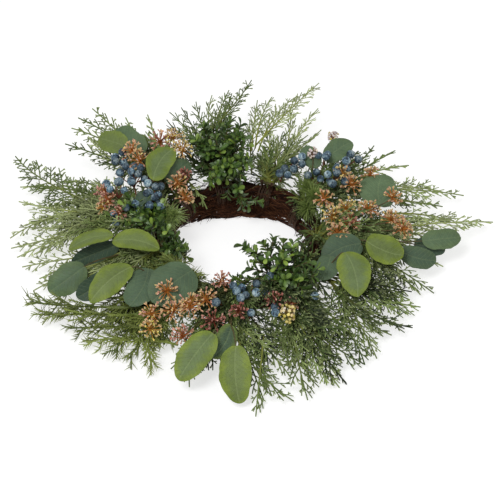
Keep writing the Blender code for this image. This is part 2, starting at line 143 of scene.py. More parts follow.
GREENS = {
    1: Greens(
        (-22, 12),
        [
            (287, 8, 12), (225, -7, 10), (224, -12, 8), (221, -17, 8), (206, -20, 8), (214, 2, 14),
            (240, 6, 14), (222, 6, 16), (200, 5, 24), (210, 10, 20), (192, -18, 20), (184, -21, 22),
            (206, -17, 8, 135, -11, 34), (196, -21, 8, 130, -16, 34), (240, 10, 12, 160, 8, 30),
            (246, 11, 8, 165, 11, 34),
        ],
        0.2, (18, 125, 205, 50, 14), 0.68,
    ),
    2: Greens(
        (12, 50),
        [
            (267, 18, 16), (240, 20, 24), (224, 31, 32), (228, 37, 34), (212, 44, 32),
            (205, 15, 24), (238, 16, 14, 160, 17, 40),
        ],
        0.18, (13, 130, 195, 56, 28), 0.65,
    ),
    3: Greens(
        (50, 84),
        [
            (246, 68, 60, 120, 80, 58), (196, 83, 60, 112, 82, 56), (202, 79, 62, 115, 80, 58),
            (206, 64, 56), (182, 58, 50), (196, 72, 60), (160, 84, 58, 92, 80, 40),
            (214, 72, 60, 112, 78, 56),
        ],
        0.2, (15, 108, 160, 56, 60), 0.8, (86, 132, 8, 56, 38),
    ),
    4: Greens(
        (84, 120),
        [
            (232, 87, 60, 125, 108, 64), (203, 91, 60, 120, 104, 64), (206, 98, 60), (193, 110, 60),
            (190, 114, 60), (178, 117, 60), (214, 93, 60, 120, 106, 62), (198, 104, 60),
        ],
        0.19, (14, 118, 168, 70, 60), 0.45, (86, 132, 8, 58, 40),
    ),
    5: Greens(
        (120, 151),
        [
            (253, 136, 50), (251, 132, 52), (246, 140, 50), (215, 127, 54), (200, 121, 58),
            (218, 140, 54), (238, 145, 44), (50, 133, 36, 92, 130, 52), (54, 148, 38, 94, 138, 54),
        ],
        0.18, (14, 130, 195, 66, 46), 0.6, (82, 138, 12, 58, 38),
    ),
    6: Greens(
        (151, 184),
        [
            (300, 153, 14), (262, 158, 14), (222, 156, 26), (222, 163, 20), (240, 168, 10),
            (232, 172, 12), (250, 176, 10), (240, 182, 8), (250, 162, 12), (231, 170, 16),
            (247, 177, 10), (220, 183, 10),
        ],
        0.19, (18, 130, 205, 56, 16), 0.95,
    ),
    7: Greens(
        (184, 212),
        [(234, 187, 8), (217, 192, 8), (226, 196, 8), (212, 203, 8)],
        0.22, (16, 120, 195, 42, 10), 0.9, (78, 150, 20, 52, 30),
    ),
    8: Greens(
        (212, 246),
        [
            (233, 201, 14, 135, 236, 34), (229, 205, 10, 140, 240, 30),
            (222, 199, 18, 125, 234, 38), (211, 214, 8, 150, 244, 22), (207, 221, 8, 160, 248, 16),
            (201, 229, 8), (197, 236, 8), (193, 244, 8), (176, 232, 14), (172, 240, 14),
            (160, 242, 22, 108, 238, 42),
        ],
        0.2, (16, 120, 174, 46, 14), 0.7, (76, 134, 30, 56, 28),
    ),
    9: Greens(
        (246, 286),
        [
            (162, 247, 20, 112, 250, 44), (190, 250, 8), (206, 256, 8), (222, 266, 6),
            (237, 275, 4, 150, 281, 30), (217, 278, 6), (230, 284, 6), (200, 285, 10),
            (170, 284, 26),
        ],
        0.28, (20, 108, 190, 46, 12), 0.42, (80, 144, 30, 54, 28),
    ),
    10: Greens(
        (286, 312),
        [
            (228, 289, 6), (226, 295, 6), (225, 300, 6), (220, 306, 6), (217, 311, 6),
            (190, 287, 12), (166, 288, 28), (152, 309, 34), (142, 316, 20, 95, 306, 44),
            (130, 319, 26, 92, 309, 46), (136, 313, 24, 94, 302, 46),
        ],
        0.32, (20, 108, 200, 50, 12), 0.42,
    ),
    11: Greens(
        (312, 338),
        [
            (217, 314, 6), (209, 320, 8), (217, 328, 8), (216, 335, 8), (192, 334, 18),
            (200, 337, 12), (150, 314, 34), (162, 317, 30), (140, 313, 42),
            (134, 318, 36, 100, 322, 40), (204, 332, 8, 130, 330, 34), (188, 336, 10, 125, 334, 36),
        ],
        0.31, (18, 112, 205, 54, 14), 0.4,
    ),
}


class Leaf(NamedTuple):
    """A broad eucalyptus leaf.

    Base and tip are the places of its ends, and faces is the azimuth and elevation that its face
    is turned to. It arches along its length by so much and folds up from its midrib by so many
    degrees. Rim is how yellow its edge is, tint how olive its face is, and a higher point makes
    its ends more pointed."""

    base: tuple
    tip: tuple
    width: float
    faces: tuple
    arch: float = 3.0
    fold: float = 6.0
    rim: float = 0.2
    tint: float = 0.3
    point: float = 0.5


LEAVES = {
    1: [
        Leaf((142, 346, 56), (183, 346, 44), 31, (270, 58), 4, 20, 1.0, 0.6),
        Leaf((200, 356, 36), (243, 0, 29), 24, (275, 62), 5, 4, 0.15, 0.25),
        Leaf((192, 357, 28), (226, 356, 23), 20, (270, 34), 2, 0, 0.0, 0.0),
        Leaf((178, 351, 34), (217, 352, 23), 25, (280, 62), 3, 6, 0.1, 0.05),
    ],
    2: [
        Leaf((158, 10, 48), (172, 22, 62), 42, (270, 56), 2, 0, 0.05, 0.3, 0.5),
        Leaf((133, 43, 60), (172, 42, 66), 25, (270, 62), 3, 4, 0.1, 0.25),
        Leaf((120, 42, 58), (134, 56, 62), 22, (265, 60), 3, 4, 0.1, 0.2),
    ],
    5: [
        Leaf((161, 139, 66), (200, 141, 62), 28, (268, 64), 4, 4, 0.5, 0.6),
        Leaf((141, 136, 66), (189, 135, 70), 31, (255, 58), 4, 4, 0.1, 0.25),
        Leaf((97, 159, 80), (106, 131, 86), 29, (275, 58), 3, 4, 0.9, 0.5, 0.55),
        Leaf((88, 151, 70), (91, 125, 71), 23, (300, 52), 2, 6, 0.1, 0.15),
    ],
    6: [Leaf((96, 166, 70), (107, 173, 61), 17, (270, 50), 2, 0, 0.0, 0.0)],
    7: [
        Leaf((134, 193, 60), (183, 192, 47), 28, (95, 80), 6, 4, 1.0, 0.7, 0.55),
        Leaf((130, 195, 50), (182, 195, 36), 22, (270, 24), -3, 6, 0.0, 0.0),
        Leaf((137, 196, 59), (95, 211, 58), 27, (272, 80), 7, 6, 1.0, 0.6, 0.55),
        Leaf((170, 199, 39), (213, 201, 21), 31, (275, 52), 3, 2, 0.2, 0.2),
        Leaf((150, 205, 33), (188, 206, 19), 25, (270, 34), 2, 4, 0.0, 0.0),
    ],
    8: [
        Leaf((135, 216, 62), (190, 217, 44), 29, (292, 56), 4, 8, 1.0, 0.65, 0.62),
        Leaf((119, 219, 55), (162, 227, 43), 36, (250, 60), 3, 2, 0.05, 0.1),
        Leaf((94, 241, 60), (148, 234, 50), 46, (268, 58), 3, 2, 0.05, 0.12),
    ],
    9: [
        Leaf((165, 262, 50), (211, 254, 22), 33, (255, 50), 3, 4, 1.0, 0.5),
        Leaf((148, 268, 46), (178, 262, 26), 24, (290, 44), 3, 4, 0.6, 0.1),
        Leaf((176, 270, 45), (223, 271, 9), 33, (272, 42), 3, 3, 1.0, 0.6),
    ],
    11: [
        Leaf((127, 334, 60), (163, 321, 40), 35, (268, 50), 4, 6, 1.0, 0.5, 0.62),
        Leaf((138, 345, 53), (106, 329, 46), 33, (290, 62), 3, 4, 0.05, 0.05),
        Leaf((112, 333, 50), (118, 319, 40), 26, (250, 62), 3, 4, 0.05, 0.15),
    ],
}

# Umbels of seeds: place, radius and colour family.
RUST, PINK, ORANGE, CREAM, YELLOW, BLUSH = range(6)
UMBELS = {
    1: [
        (103, 359, 62, 12, CREAM), (110, 348, 58, 12, ORANGE), (118, 4, 66, 11, CREAM),
        (122, 356, 60, 10, PINK), (142, 4, 62, 12, ORANGE), (171, 10, 62, 11, ORANGE),
        (166, 0, 56, 12, ORANGE), (178, 358, 50, 11, ORANGE),
    ],
    2: [
        (97, 14, 66, 11, ORANGE), (133, 20, 66, 11, ORANGE), (129, 27, 70, 9, CREAM),
        (162, 25, 60, 10, ORANGE), (160, 48, 73, 6, BLUSH), (126, 48, 70, 6, BLUSH),
    ],
    5: [
        (140, 145, 84, 12, ORANGE), (126, 147, 81, 12, ORANGE), (127, 132, 86, 12, PINK),
        (122, 125, 86, 12, CREAM), (102, 126, 84, 11, CREAM), (77, 138, 76, 8, RUST),
        (76, 149, 74, 11, ORANGE),
    ],
    6: [
        (61, 158, 68, 10, ORANGE), (149, 165, 62, 10, PINK), (141, 169, 60, 10, PINK),
        (127, 175, 58, 9, PINK), (147, 171, 55, 8, CREAM),
    ],
    8: [
        (131, 237, 59, 13, ORANGE), (147, 244, 52, 12, ORANGE), (159, 237, 50, 11, ORANGE),
        (171, 239, 40, 11, CREAM),
    ],
    9: [
        (138, 250, 57, 13, ORANGE), (127, 256, 59, 12, ORANGE), (146, 261, 51, 12, RUST),
        (168, 251, 42, 12, PINK), (99, 261, 61, 10, PINK), (137, 271, 57, 9, RUST),
    ],
    10: [
        (129, 288, 59, 9, RUST), (147, 291, 54, 9, YELLOW), (134, 295, 51, 7, PINK),
    ],
}

# Groups of berries: the middle of each, how many there are, and how far they spread.
BERRIES = {
    2: [(120, 27, 68, 7, 16), (146, 35, 67, 5, 15), (105, 35, 66, 3, 10), (131, 42, 67, 3, 10)],
    3: [(104, 52, 65, 4, 12), (84, 53, 62, 3, 8)],
    5: [(148, 149, 76, 4, 10)],
    6: [
        (124, 156, 76, 9, 15), (138, 164, 68, 5, 12), (95, 161, 69, 7, 13), (88, 170, 62, 4, 10),
        (110, 172, 61, 5, 12), (132, 177, 53, 4, 9),
    ],
    9: [(117, 272, 62, 6, 11), (129, 262, 58, 2, 5), (114, 281, 60, 5, 10), (141, 276, 54, 2, 5)],
    10: [(139, 287, 54, 3, 7), (101, 289, 62, 2, 6), (135, 306, 49, 2, 6)],
}
BERRY_RADIUS = 4.7

# Sprigs of boxwood: how many shoots each has, its green, and the places of the tips.
BOXWOOD = {
    4: [
        5, 0.12,
        (126, 107, 84), (116, 95, 86), (122, 88, 86), (100, 86, 82), (82, 103, 84), (95, 112, 80),
        (62, 95, 74), (74, 82, 76), (56, 114, 70), (112, 118, 82), (44, 73, 36),
    ],
    6: [5, 0.12, (135, 176, 52), (118, 173, 54), (104, 179, 56), (92, 173, 54), (80, 176, 54)],
    7: [5, 0.12, (104, 187, 56), (84, 193, 56), (77, 213, 50), (72, 223, 46), (75, 203, 52)],
    10: [
        2, 0.14,
        (50, 278, 64), (82, 280, 60), (68, 299, 70), (75, 311, 74), (94, 313, 72), (109, 313, 68),
        (96, 272, 54), (81, 289, 66), (95, 299, 72), (113, 303, 66), (117, 296, 62), (129, 302, 58),
        (103, 291, 62), (124, 311, 62),
    ],
}

# Tufts of needles: the places of their tips.
PINE = {
    2: [(92, 34, 52), (80, 17, 46), (90, 22, 58), (104, 40, 50)],
    6: [(66, 177, 56), (74, 182, 52)],
}


# ---------------------------------------------------------------- meshes

VALUES = ("tip", "tone", "hue", "across", "along", "edge")
STEEP = 0.9


def spokes(side, up, sides):
    """Unit vectors all round an axis, from its two cross directions."""
    angles = TAU * np.arange(sides)[:, None] / sides
    return np.cos(angles) * side[..., None, :] + np.sin(angles) * up[..., None, :]


def walls(many, stations, sides, closed=False):
    """The faces of tubes with as many stations each: walls, and caps unless they are loops."""
    spans = stations if closed else stations - 1
    counts = (np.arange(many), np.arange(spans), np.arange(sides))
    tube, station, corner = np.meshgrid(*counts, indexing="ij")
    here = (tube * stations + station) * sides
    there = (tube * stations + (station + 1) % stations) * sides
    after = (corner + 1) % sides
    quads = np.stack([here + corner, there + corner, there + after, here + after], -1)
    ends = np.arange(many)[:, None] * stations * sides + np.arange(sides)
    caps = np.concatenate([ends, ends[:, ::-1] + (stations - 1) * sides])
    return [quads.reshape(-1, 4)] + ([] if closed else [caps])


def sheet(rows, columns):
    """The faces of a thin sheet: its top, its underside, and the edge that joins them."""
    grid = np.arange(rows * columns).reshape(rows, columns)
    corners = (grid[:-1, :-1], grid[1:, :-1], grid[1:, 1:], grid[:-1, 1:])
    upper = np.stack(corners, -1).reshape(-1, 4)
    border = np.concatenate([grid[0], grid[1:, -1], grid[-1, -2::-1], grid[-2:0:-1, 0]])
    after = np.roll(border, -1)
    edge = np.stack([border, after, after + grid.size, border + grid.size], -1)
    return [upper, upper[:, ::-1] + grid.size, edge]


def show(name, data):
    made = bpy.data.objects.new(name, data)
    bpy.context.scene.collection.objects.link(made)
    return made


class Skin:
    """One piece as it grows: vertices in millimetres, faces, values by vertex, random numbers."""

    def __init__(self, name):
        self.name = name
        self.roll = np.random.default_rng(zlib.crc32(name.encode()))
        self.points = []
        self.faces = []
        self.materials = []
        self.values = {name: [] for name in VALUES}
        self.count = 0

    def add(self, points, faces, material=0, **values):
        """Adds a closed shape: its points, and arrays of faces with as many corners each."""
        self.points.append(points)
        for group in faces:
            self.faces.append(group + self.count)
            self.materials.append(np.full(len(group), material))
        for name in VALUES:
            value = np.asarray(values.get(name, 0.0), float)
            self.values[name].append(np.broadcast_to(value, len(points)))
        self.count += len(points)

    def sweep(self, paths, radii, side, along, faces, sides, material=0, **values):
        """Adds round walls along paths that have a side direction at every station."""
        shape = paths.shape[:2]
        radii = np.broadcast_to(np.asarray(radii, float), shape)
        points = paths[:, :, None] + radii[..., None, None] * spokes(side, np.cross(side, along), sides)
        spread = {
            name: np.repeat(np.broadcast_to(value, shape).reshape(-1), sides)
            for name, value in values.items()
        }
        self.add(points.reshape(-1, 3), faces, material, **spread)

    def tubes(self, paths, radii, sides=3, material=0, **values):
        """Adds tubes with capped ends along paths with as many stations each."""
        paths = np.asarray(paths, float)
        along = unit(np.gradient(paths, axis=1))
        whole = unit(paths[:, -1] - paths[:, 0])
        steep = np.abs(whole[:, 2]) > STEEP
        reference = np.where(steep[:, None], X_AXIS, Z_AXIS)[:, None]
        side = unit(np.cross(along, reference))
        faces = walls(*paths.shape[:2], sides)
        self.sweep(paths, radii, side, along, faces, sides, material, **values)

    def loop(self, path, radius, sides, **values):
        """Adds a tube along a closed path."""
        paths = np.asarray(path, float)[None]
        along = unit(np.roll(paths, -1, 1) - np.roll(paths, 1, 1))
        out = unit(paths - paths.mean(axis=1, keepdims=True))
        side = unit(np.cross(along, np.cross(out, along)))
        faces = walls(*paths.shape[:2], sides, closed=True)
        self.sweep(paths, radius, side, along, faces, sides, **values)

    def lathe(self, middle, axis, profile, sides, **values):
        """Adds a turned shape round an axis: profile is (height, radius), from bottom to top."""
        axis = unit(axis)
        side = unit(np.cross(axis, X_AXIS if abs(axis[2]) > STEEP else Z_AXIS))
        heights, radii = (np.array(column)[:, None, None] for column in zip(*profile))
        points = middle + heights * axis + radii * spokes(side, np.cross(side, axis), sides)
        climb = np.repeat(np.linspace(0, 1, len(profile)), sides)
        self.add(points.reshape(-1, 3), walls(1, len(profile), sides), tip=climb, **values)

    def piece(self, body, slot, materials, *replaces, crease=40):
        """Makes the object, rides it on its body, and hides the frame's parts that it replaces. The
        slot is not used.
        """
        points = np.concatenate(self.points) * MM
        mesh = bpy.data.meshes.new(self.name)
        mesh.vertices.add(len(points))
        mesh.vertices.foreach_set("co", points.astype(np.float32).reshape(-1))
        corners = np.concatenate([group.reshape(-1) for group in self.faces])
        sizes = np.concatenate([np.full(len(group), group.shape[1]) for group in self.faces])
        mesh.loops.add(len(corners))
        mesh.loops.foreach_set("vertex_index", corners.astype(np.int32))
        mesh.polygons.add(len(sizes))
        starts = np.concatenate([[0], np.cumsum(sizes)[:-1]])
        mesh.polygons.foreach_set("loop_start", starts.astype(np.int32))
        mesh.polygons.foreach_set("material_index", np.concatenate(self.materials).astype(np.int32))
        for value_name, parts in self.values.items():
            values = np.concatenate(parts)
            if values.any():
                attribute = mesh.attributes.new(value_name, "FLOAT", "POINT")
                attribute.data.foreach_set("value", values.astype(np.float32))
        mesh.update(calc_edges=True)
        mesh.shade_smooth()
        mesh.set_sharp_from_angle(angle=math.radians(crease))
        for material in materials:
            mesh.materials.append(material)
        made = show(self.name, mesh)
        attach(made, body)
        shown = [node for node in replaces if node in frame["nodes"]]
        if shown:
            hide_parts(*shown)


def sample(table, marks, places):
    """A table's rows at places between the marks where its own rows stand."""
    return np.stack([np.interp(places, marks, column) for column in table.T], -1)


def beside(way):
    """Two directions across a direction."""
    side = unit(np.cross(way, X_AXIS if abs(way[0]) < 0.8 else Z_AXIS))
    return side, np.cross(way, side)


def curve(controls, count):
    """Points along a cubic Bezier curve."""
    t = np.linspace(0, 1, count)[:, None]
    a, b, c, d = (np.asarray(point, float) for point in controls)
    return a * (1 - t) ** 3 + 3 * b * t * (1 - t) ** 2 + 3 * c * t**2 * (1 - t) + d * t**3


def bow(start, end, lift, count=8):
    """A stalk that leaves its start upwards and outwards and bends over to its end."""
    start, end = np.asarray(start, float), np.asarray(end, float)
    reach = end - start
    return curve(
        (start, start + reach * 0.35 + Z_AXIS * lift, end - reach * 0.25 + Z_AXIS * lift * 0.4, end),
        count,
    )


# ---------------------------------------------------------------- materials


def linear(colour):
    """A colour given as 0 to 255 display values, in the linear values that shaders take."""
    shares = [value / 255 for value in colour]
    return [s / 12.92 if s <= 0.04045 else ((s + 0.055) / 1.055) ** 2.4 for s in shares] + [1.0]


# Where a mix node takes its share and two colours, and gives the colour.
MIX_INPUTS = (0, 6, 7)
MIX_OUTPUT = 2


class Paint:
    """A procedural material: its methods add nodes, and finish links them to its shader."""

    def __init__(self, name, roughness, **sockets):
        self.material = bpy.data.materials.new(name)
        self.material.use_nodes = True
        self.nodes = self.material.node_tree.nodes
        self.links = self.material.node_tree.links
        self.shader = self.nodes["Principled BSDF"]
        self.shader.inputs["Roughness"].default_value = roughness
        for socket, value in sockets.items():
            self.shader.inputs[socket.replace("_", " ")].default_value = value
        self.place = self.nodes.new("ShaderNodeTexCoord").outputs["Object"]

    def node(self, kind, output, inputs, **settings):
        """Adds a node, sets it, links or sets its inputs, and gives one of its outputs."""
        node = self.nodes.new("ShaderNode" + kind)
        for name, value in settings.items():
            setattr(node, name, value)
        for name, source in inputs.items():
            if isinstance(source, bpy.types.NodeSocket):
                self.links.new(source, node.inputs[name])
            else:
                node.inputs[name].default_value = source
        return node.outputs[output]

    def values(self, *names):
        """The values that the vertices of a piece hold under these names."""
        return [self.node("Attribute", "Fac", {}, attribute_name=name) for name in names]

    def noise(self, scale, detail=3.0, roughness=0.55):
        inputs = {"Vector": self.place, "Scale": scale, "Detail": detail, "Roughness": roughness}
        return self.node("TexNoise", "Fac", inputs)

    def maths(self, operation, *sources):
        return self.node("Math", 0, dict(enumerate(sources)), operation=operation)

    def span(self, source, low, high, start=0.0, end=1.0):
        """The source from low to high, turned smoothly into start to end."""
        inputs = {"Value": source, "From Min": low, "From Max": high, "To Min": start, "To Max": end}
        return self.node("MapRange", "Result", inputs, interpolation_type="SMOOTHSTEP")

    def ramp(self, source, *stops):
        colour = self.node("ValToRGB", "Color", {"Fac": source})
        elements = colour.node.color_ramp.elements
        while len(elements) < len(stops):
            elements.new(0.5)
        for element, (position, value) in zip(elements, stops):
            element.position = position
            element.color = linear(value)
        return colour

    def mix(self, share, first, second):
        """The first colour, turned by a share into the second."""
        colours = (linear(one) if isinstance(one, tuple) else one for one in (first, second))
        inputs = dict(zip(MIX_INPUTS, (share, *colours)))
        return self.node("Mix", MIX_OUTPUT, inputs, data_type="RGBA")

    def shade(self, colour, source, low, high):
        """The colour made darker or lighter, from low to high, as the source goes from 0 to 1."""
        inputs = {"Color": colour, "Value": self.span(source, 0.0, 1.0, low, high)}
        return self.node("HueSaturation", "Color", inputs)

    def finish(self, colour, grain, depth, smooth, rough, low=0.3, relief=None, strength=1.0):
        """Links the colour, a relief of this depth, and a roughness that follows the grain."""
        inputs = {"Strength": strength, "Distance": depth, "Height": relief or grain}
        looks = {
            "Base Color": colour,
            "Normal": self.node("Bump", "Normal", inputs),
            "Roughness": self.span(grain, low, 1 - low, smooth, rough),
        }
        for name, source in looks.items():
            self.links.new(source, self.shader.inputs[name])
        return self.material


def cedar_paint():
    """Moulded cedar: green by spray, yellower on the stalks, and paler at the tips as a painted
    highlight.
    """
    paint = Paint("cedar_plastic", 0.6, Specular_IOR_Level=0.3)
    hue, tip, tone = paint.values("hue", "tip", "tone")
    green = paint.ramp(
        hue, (0.0, (32, 44, 18)), (0.35, (64, 82, 36)), (0.65, (104, 122, 64)), (1.0, (154, 165, 114))
    )
    stalk = paint.ramp(hue, (0.0, (60, 58, 26)), (1.0, (142, 148, 62)))
    body = paint.mix(paint.span(tip, 0.1, 0.45), stalk, green)
    # Painted highlight: the outer twig ends are mixed towards pale sage, standing in for light on the
    # tips.
    ends = paint.mix(paint.span(tip, 0.7, 1.0, 0.0, 0.5), body, (168, 180, 120))
    toned = paint.shade(ends, tone, 0.62, 1.35)
    patchy = paint.shade(toned, paint.noise(60.0, 2.0), 0.82, 1.18)
    return paint.finish(patchy, paint.noise(1500.0, 2.0), 0.0003, 0.5, 0.72)


def juniper_paint():
    """Juniper needles: dark at the stem, yellow-green at the points."""
    paint = Paint("juniper_plastic", 0.55)
    hue, tip, tone = paint.values("hue", "tip", "tone")
    green = paint.ramp(hue, (0.0, (36, 50, 18)), (0.5, (76, 94, 36)), (1.0, (122, 136, 58)))
    body = paint.mix(paint.span(tip, 0.4, 1.0, 0.0, 0.6), green, (150, 160, 84))
    toned = paint.shade(body, tone, 0.65, 1.25)
    patchy = paint.shade(toned, paint.noise(70.0, 2.0), 0.85, 1.15)
    return paint.finish(patchy, paint.noise(1500.0, 2.0), 0.0003, 0.45, 0.65)


VEIN_GAP = 5.2


def leaf_paint():
    """Printed leaf cloth: grey-green middle, yellow-green rim, pale midrib, fine side veins."""
    paint = Paint("leaf_cloth", 0.6, Specular_IOR_Level=0.3)
    across, along, edge = paint.values("across", "along", "edge")
    tint, rim, under = paint.values("hue", "tone", "tip")
    aside = paint.maths("ABSOLUTE", across)
    cloudy = paint.noise(55.0, 4.0)
    mottled = paint.noise(420.0, 3.0, 0.65)
    middle = paint.ramp(tint, (0.0, (64, 84, 66)), (0.3, (92, 114, 82)), (0.6, (104, 120, 66)))
    middle = paint.shade(middle, cloudy, 0.72, 1.25)
    margin = paint.ramp(cloudy, (0.3, (96, 114, 38)), (0.7, (124, 140, 52)))
    blotchy = paint.noise(150.0, 4.0, 0.6)
    wander = paint.maths("MULTIPLY_ADD", blotchy, 1.3, paint.maths("SUBTRACT", edge, 0.65))
    rimmed = paint.maths("MULTIPLY", paint.span(wander, 0.1, 0.95, 1.0, 0.0), rim)
    face = paint.mix(rimmed, middle, margin)
    slanted = paint.maths("MULTIPLY_ADD", aside, -0.8, along)
    wave = paint.maths("SINE", paint.maths("MULTIPLY", slanted, TAU / VEIN_GAP))
    vein = paint.span(wave, 0.86, 1.0)
    face = paint.mix(paint.maths("MULTIPLY", vein, 0.13), face, (160, 172, 124))
    midrib = paint.span(aside, 0.2, 0.9, 1.0, 0.0)
    rib = paint.maths("MULTIPLY", midrib, paint.span(rim, 0, 1, 0.12, 0.26))
    face = paint.mix(rib, face, (150, 164, 112))
    face = paint.shade(face, mottled, 0.8, 1.2)
    back = paint.shade(paint.mix(rib, (54, 72, 62), (100, 112, 84)), cloudy, 0.85, 1.15)
    both = paint.mix(under, face, back)
    relief = paint.maths("MULTIPLY_ADD", vein, -0.7, mottled)
    return paint.finish(both, mottled, 0.0004, 0.5, 0.7, relief=relief, strength=0.8)


def stalk_paint():
    """Thin plastic-coated stalks, olive to brown, or rust red where they carry berries."""
    paint = Paint("stalk_plastic", 0.55)
    streak = paint.noise(240.0, 3.0)
    brown = paint.ramp(streak, (0.3, (62, 54, 30)), (0.55, (84, 76, 40)), (0.75, (96, 66, 42)))
    (tone,) = paint.values("tone")
    colour = paint.mix(paint.maths("MULTIPLY", tone, 0.8), brown, (128, 58, 38))
    return paint.finish(colour, paint.noise(1300.0, 2.0), 0.0003, 0.45, 0.7)


def berry_paint():
    """Dusty blue berries: pale frosting over navy, dark round the crown."""
    paint = Paint("berry_plastic", 0.5, Coat_Weight=0.08, Coat_Roughness=0.35)
    tip, tone = paint.values("tip", "tone")
    dust = paint.noise(620.0, 4.0, 0.75)
    cloud = paint.noise(110.0, 2.0)
    mixed = paint.maths("MULTIPLY_ADD", cloud, 0.45, paint.maths("MULTIPLY", dust, 0.65))
    dark, blue = (0.44, (24, 33, 45)), (0.52, (64, 91, 112))
    pale, frost = (0.59, (118, 147, 161)), (0.68, (194, 208, 208))
    frosted = paint.ramp(mixed, dark, blue, pale, frost)
    toned = paint.shade(frosted, tone, 0.5, 1.2)
    crowned = paint.mix(paint.span(tip, 0.84, 0.93, 0.0, 0.85), toned, (24, 30, 46))
    return paint.finish(crowned, dust, 0.0005, 0.35, 0.7, low=0.35)


# The colours of each family of umbels.
SEED_STALKS = (
    ((106, 46, 30), (160, 88, 42), (186, 116, 44))
    + ((180, 128, 48), (140, 128, 54), (150, 104, 80))
)
SEED_BUDS = (
    ((158, 92, 78), (214, 162, 148), (212, 170, 122))
    + ((224, 204, 150), (226, 208, 84), (238, 222, 220))
)


def seed_paint():
    """Seed umbels: warm stalks, and buds whose colour goes by the umbel's family."""
    paint = Paint("seed_plastic", 0.5)
    tip, tone, hue = paint.values("tip", "tone", "hue")
    stalk, bud = (
        paint.ramp(hue, *((family / BLUSH, colour) for family, colour in enumerate(colours)))
        for colours in (SEED_STALKS, SEED_BUDS)
    )
    body = paint.mix(paint.span(tip, 0.5, 0.85), stalk, bud)
    speckle = paint.noise(800.0, 3.0)
    toned = paint.shade(body, tone, 0.72, 1.15)
    patchy = paint.shade(toned, speckle, 0.82, 1.15)
    return paint.finish(patchy, speckle, 0.0004, 0.42, 0.62)


def boxwood_paint():
    """Small glossy leaves, from dark to bright green; their tones carry painted shade, darker near the
    foot of each stalk.
    """
    paint = Paint("boxwood_plastic", 0.35, Coat_Weight=0.15, Coat_Roughness=0.3)
    tone, edge, under = paint.values("tone", "edge", "tip")
    green = paint.ramp(tone, (0.0, (26, 46, 14)), (0.5, (64, 94, 30)), (1.0, (136, 162, 60)))
    ribbed = paint.mix(paint.span(edge, 0.75, 1.0, 0.0, 0.35), green, (140, 165, 90))
    cloudy = paint.noise(300.0, 3.0)
    face = paint.shade(ribbed, cloudy, 0.8, 1.2)
    both = paint.mix(paint.maths("MULTIPLY", under, 0.5), face, (96, 122, 72))
    return paint.finish(both, cloudy, 0.0005, 0.28, 0.5)


def pine_paint():
    """Soft fine needles in bright green."""
    paint = Paint("pine_plastic", 0.5)
    tip, tone = paint.values("tip", "tone")
    green = paint.ramp(tone, (0.0, (82, 100, 44)), (1.0, (144, 164, 86)))
    ends = paint.mix(paint.span(tip, 0.6, 1.0, 0.0, 0.3), green, (150, 172, 100))
    return paint.finish(ends, paint.noise(900.0, 2.0), 0.0003, 0.42, 0.62)


def vine_paint():
    """Dark red-brown twigs with streaked, flaking bark, the bark colours set darker in part as painted
    shade for the foliage's shade over the ring.
    """
    paint = Paint("vine_bark", 0.85, Specular_IOR_Level=0.15)
    (tone,) = paint.values("tone")
    streak = paint.noise(420.0, 5.0, 0.7)
    flake = paint.noise(130.0, 4.0)
    # Partly painted shade: these bark colours are darker to stand in for the shade that the foliage
    # casts over the ring.
    bark = paint.ramp(
        tone, (0.0, (30, 15, 9)), (0.45, (56, 31, 19)), (0.8, (82, 48, 30)), (1.0, (116, 76, 48))
    )
    flaked = paint.mix(paint.span(flake, 0.55, 0.7, 0.0, 0.5), bark, (92, 56, 36))
    worn = paint.shade(flaked, streak, 0.6, 1.35)
    return paint.finish(worn, streak, 0.0012, 0.68, 0.92)


def wire_paint():
    """Brown lacquered binding wire, worn to metal in places."""
    paint = Paint("binding_wire", 0.45, Metallic=0.5)
    wear = paint.noise(500.0, 3.0)
    colour = paint.ramp(wear, (0.4, (62, 44, 32)), (0.68, (96, 72, 54)), (0.78, (150, 138, 122)))
    return paint.finish(colour, wear, 0.0003, 0.35, 0.6)


def steel_paint():
    """Drawn steel wire with a light stain."""
    paint = Paint("hoop_steel", 0.35, Metallic=0.9)
    stain = paint.noise(200.0, 4.0)
    colour = paint.ramp(stain, (0.35, (118, 112, 106)), (0.7, (166, 166, 168)))
    return paint.finish(colour, stain, 0.0002, 0.28, 0.5)


# ---------------------------------------------------------------- cedar and juniper


class Habit(NamedTuple):
    """How a spray branches.

    Gaps between shoots, their angles and their least and greatest lengths are given for each
    level that has shoots. Radii at the foot and at the end, stations and sides are given for each
    level, from the main stalk to the last forks. Lift is how far a shoot leaves the plane over
    its length, bend how unsteady a stalk is, and curl how far it turns back. The main stalk is
    bare for a share of its length, and no shoot is nearer its end than clear times the least."""

    gaps: tuple
    angles: tuple
    radii: tuple
    ends: tuple
    stations: tuple
    sides: tuple
    lift: float
    bend: float
    curl: float
    shoots: tuple
    bare: float
    clear: float = 1.3


CEDAR = Habit(
    gaps=(5.2, 4.8, 5.0),
    angles=(36, 38, 38),
    radii=(1.1, 0.78, 0.66, 0.62),
    ends=(0.75, 0.64, 0.66, 0.72),
    stations=(12, 7, 3, 2),
    sides=(5, 4, 3, 3),
    lift=0.12,
    bend=0.06,
    curl=0.36,
    shoots=((9.0, 60.0), (5.0, 19.0), (3.0, 6.0)),
    bare=0.14,
)
THICK_CEDAR = CEDAR._replace(gaps=(4.4, 4.0, 4.4), angles=(42, 40, 38), lift=0.24, bend=0.1)
CURLY_CEDAR = CEDAR._replace(
    gaps=(4.8, 4.3, 4.5), angles=(42, 42, 40), lift=0.2, bend=0.15, curl=0.5
)
FINE_CEDAR = CEDAR._replace(
    gaps=(4.4, 3.7, 4.0),
    angles=(30, 29, 28),
    radii=(1.0, 0.66, 0.54, 0.48),
    ends=(0.6, 0.5, 0.48, 0.46),
    curl=0.5,
    shoots=((12.0, 66.0), (7.0, 25.0), (4.0, 9.0)),
)
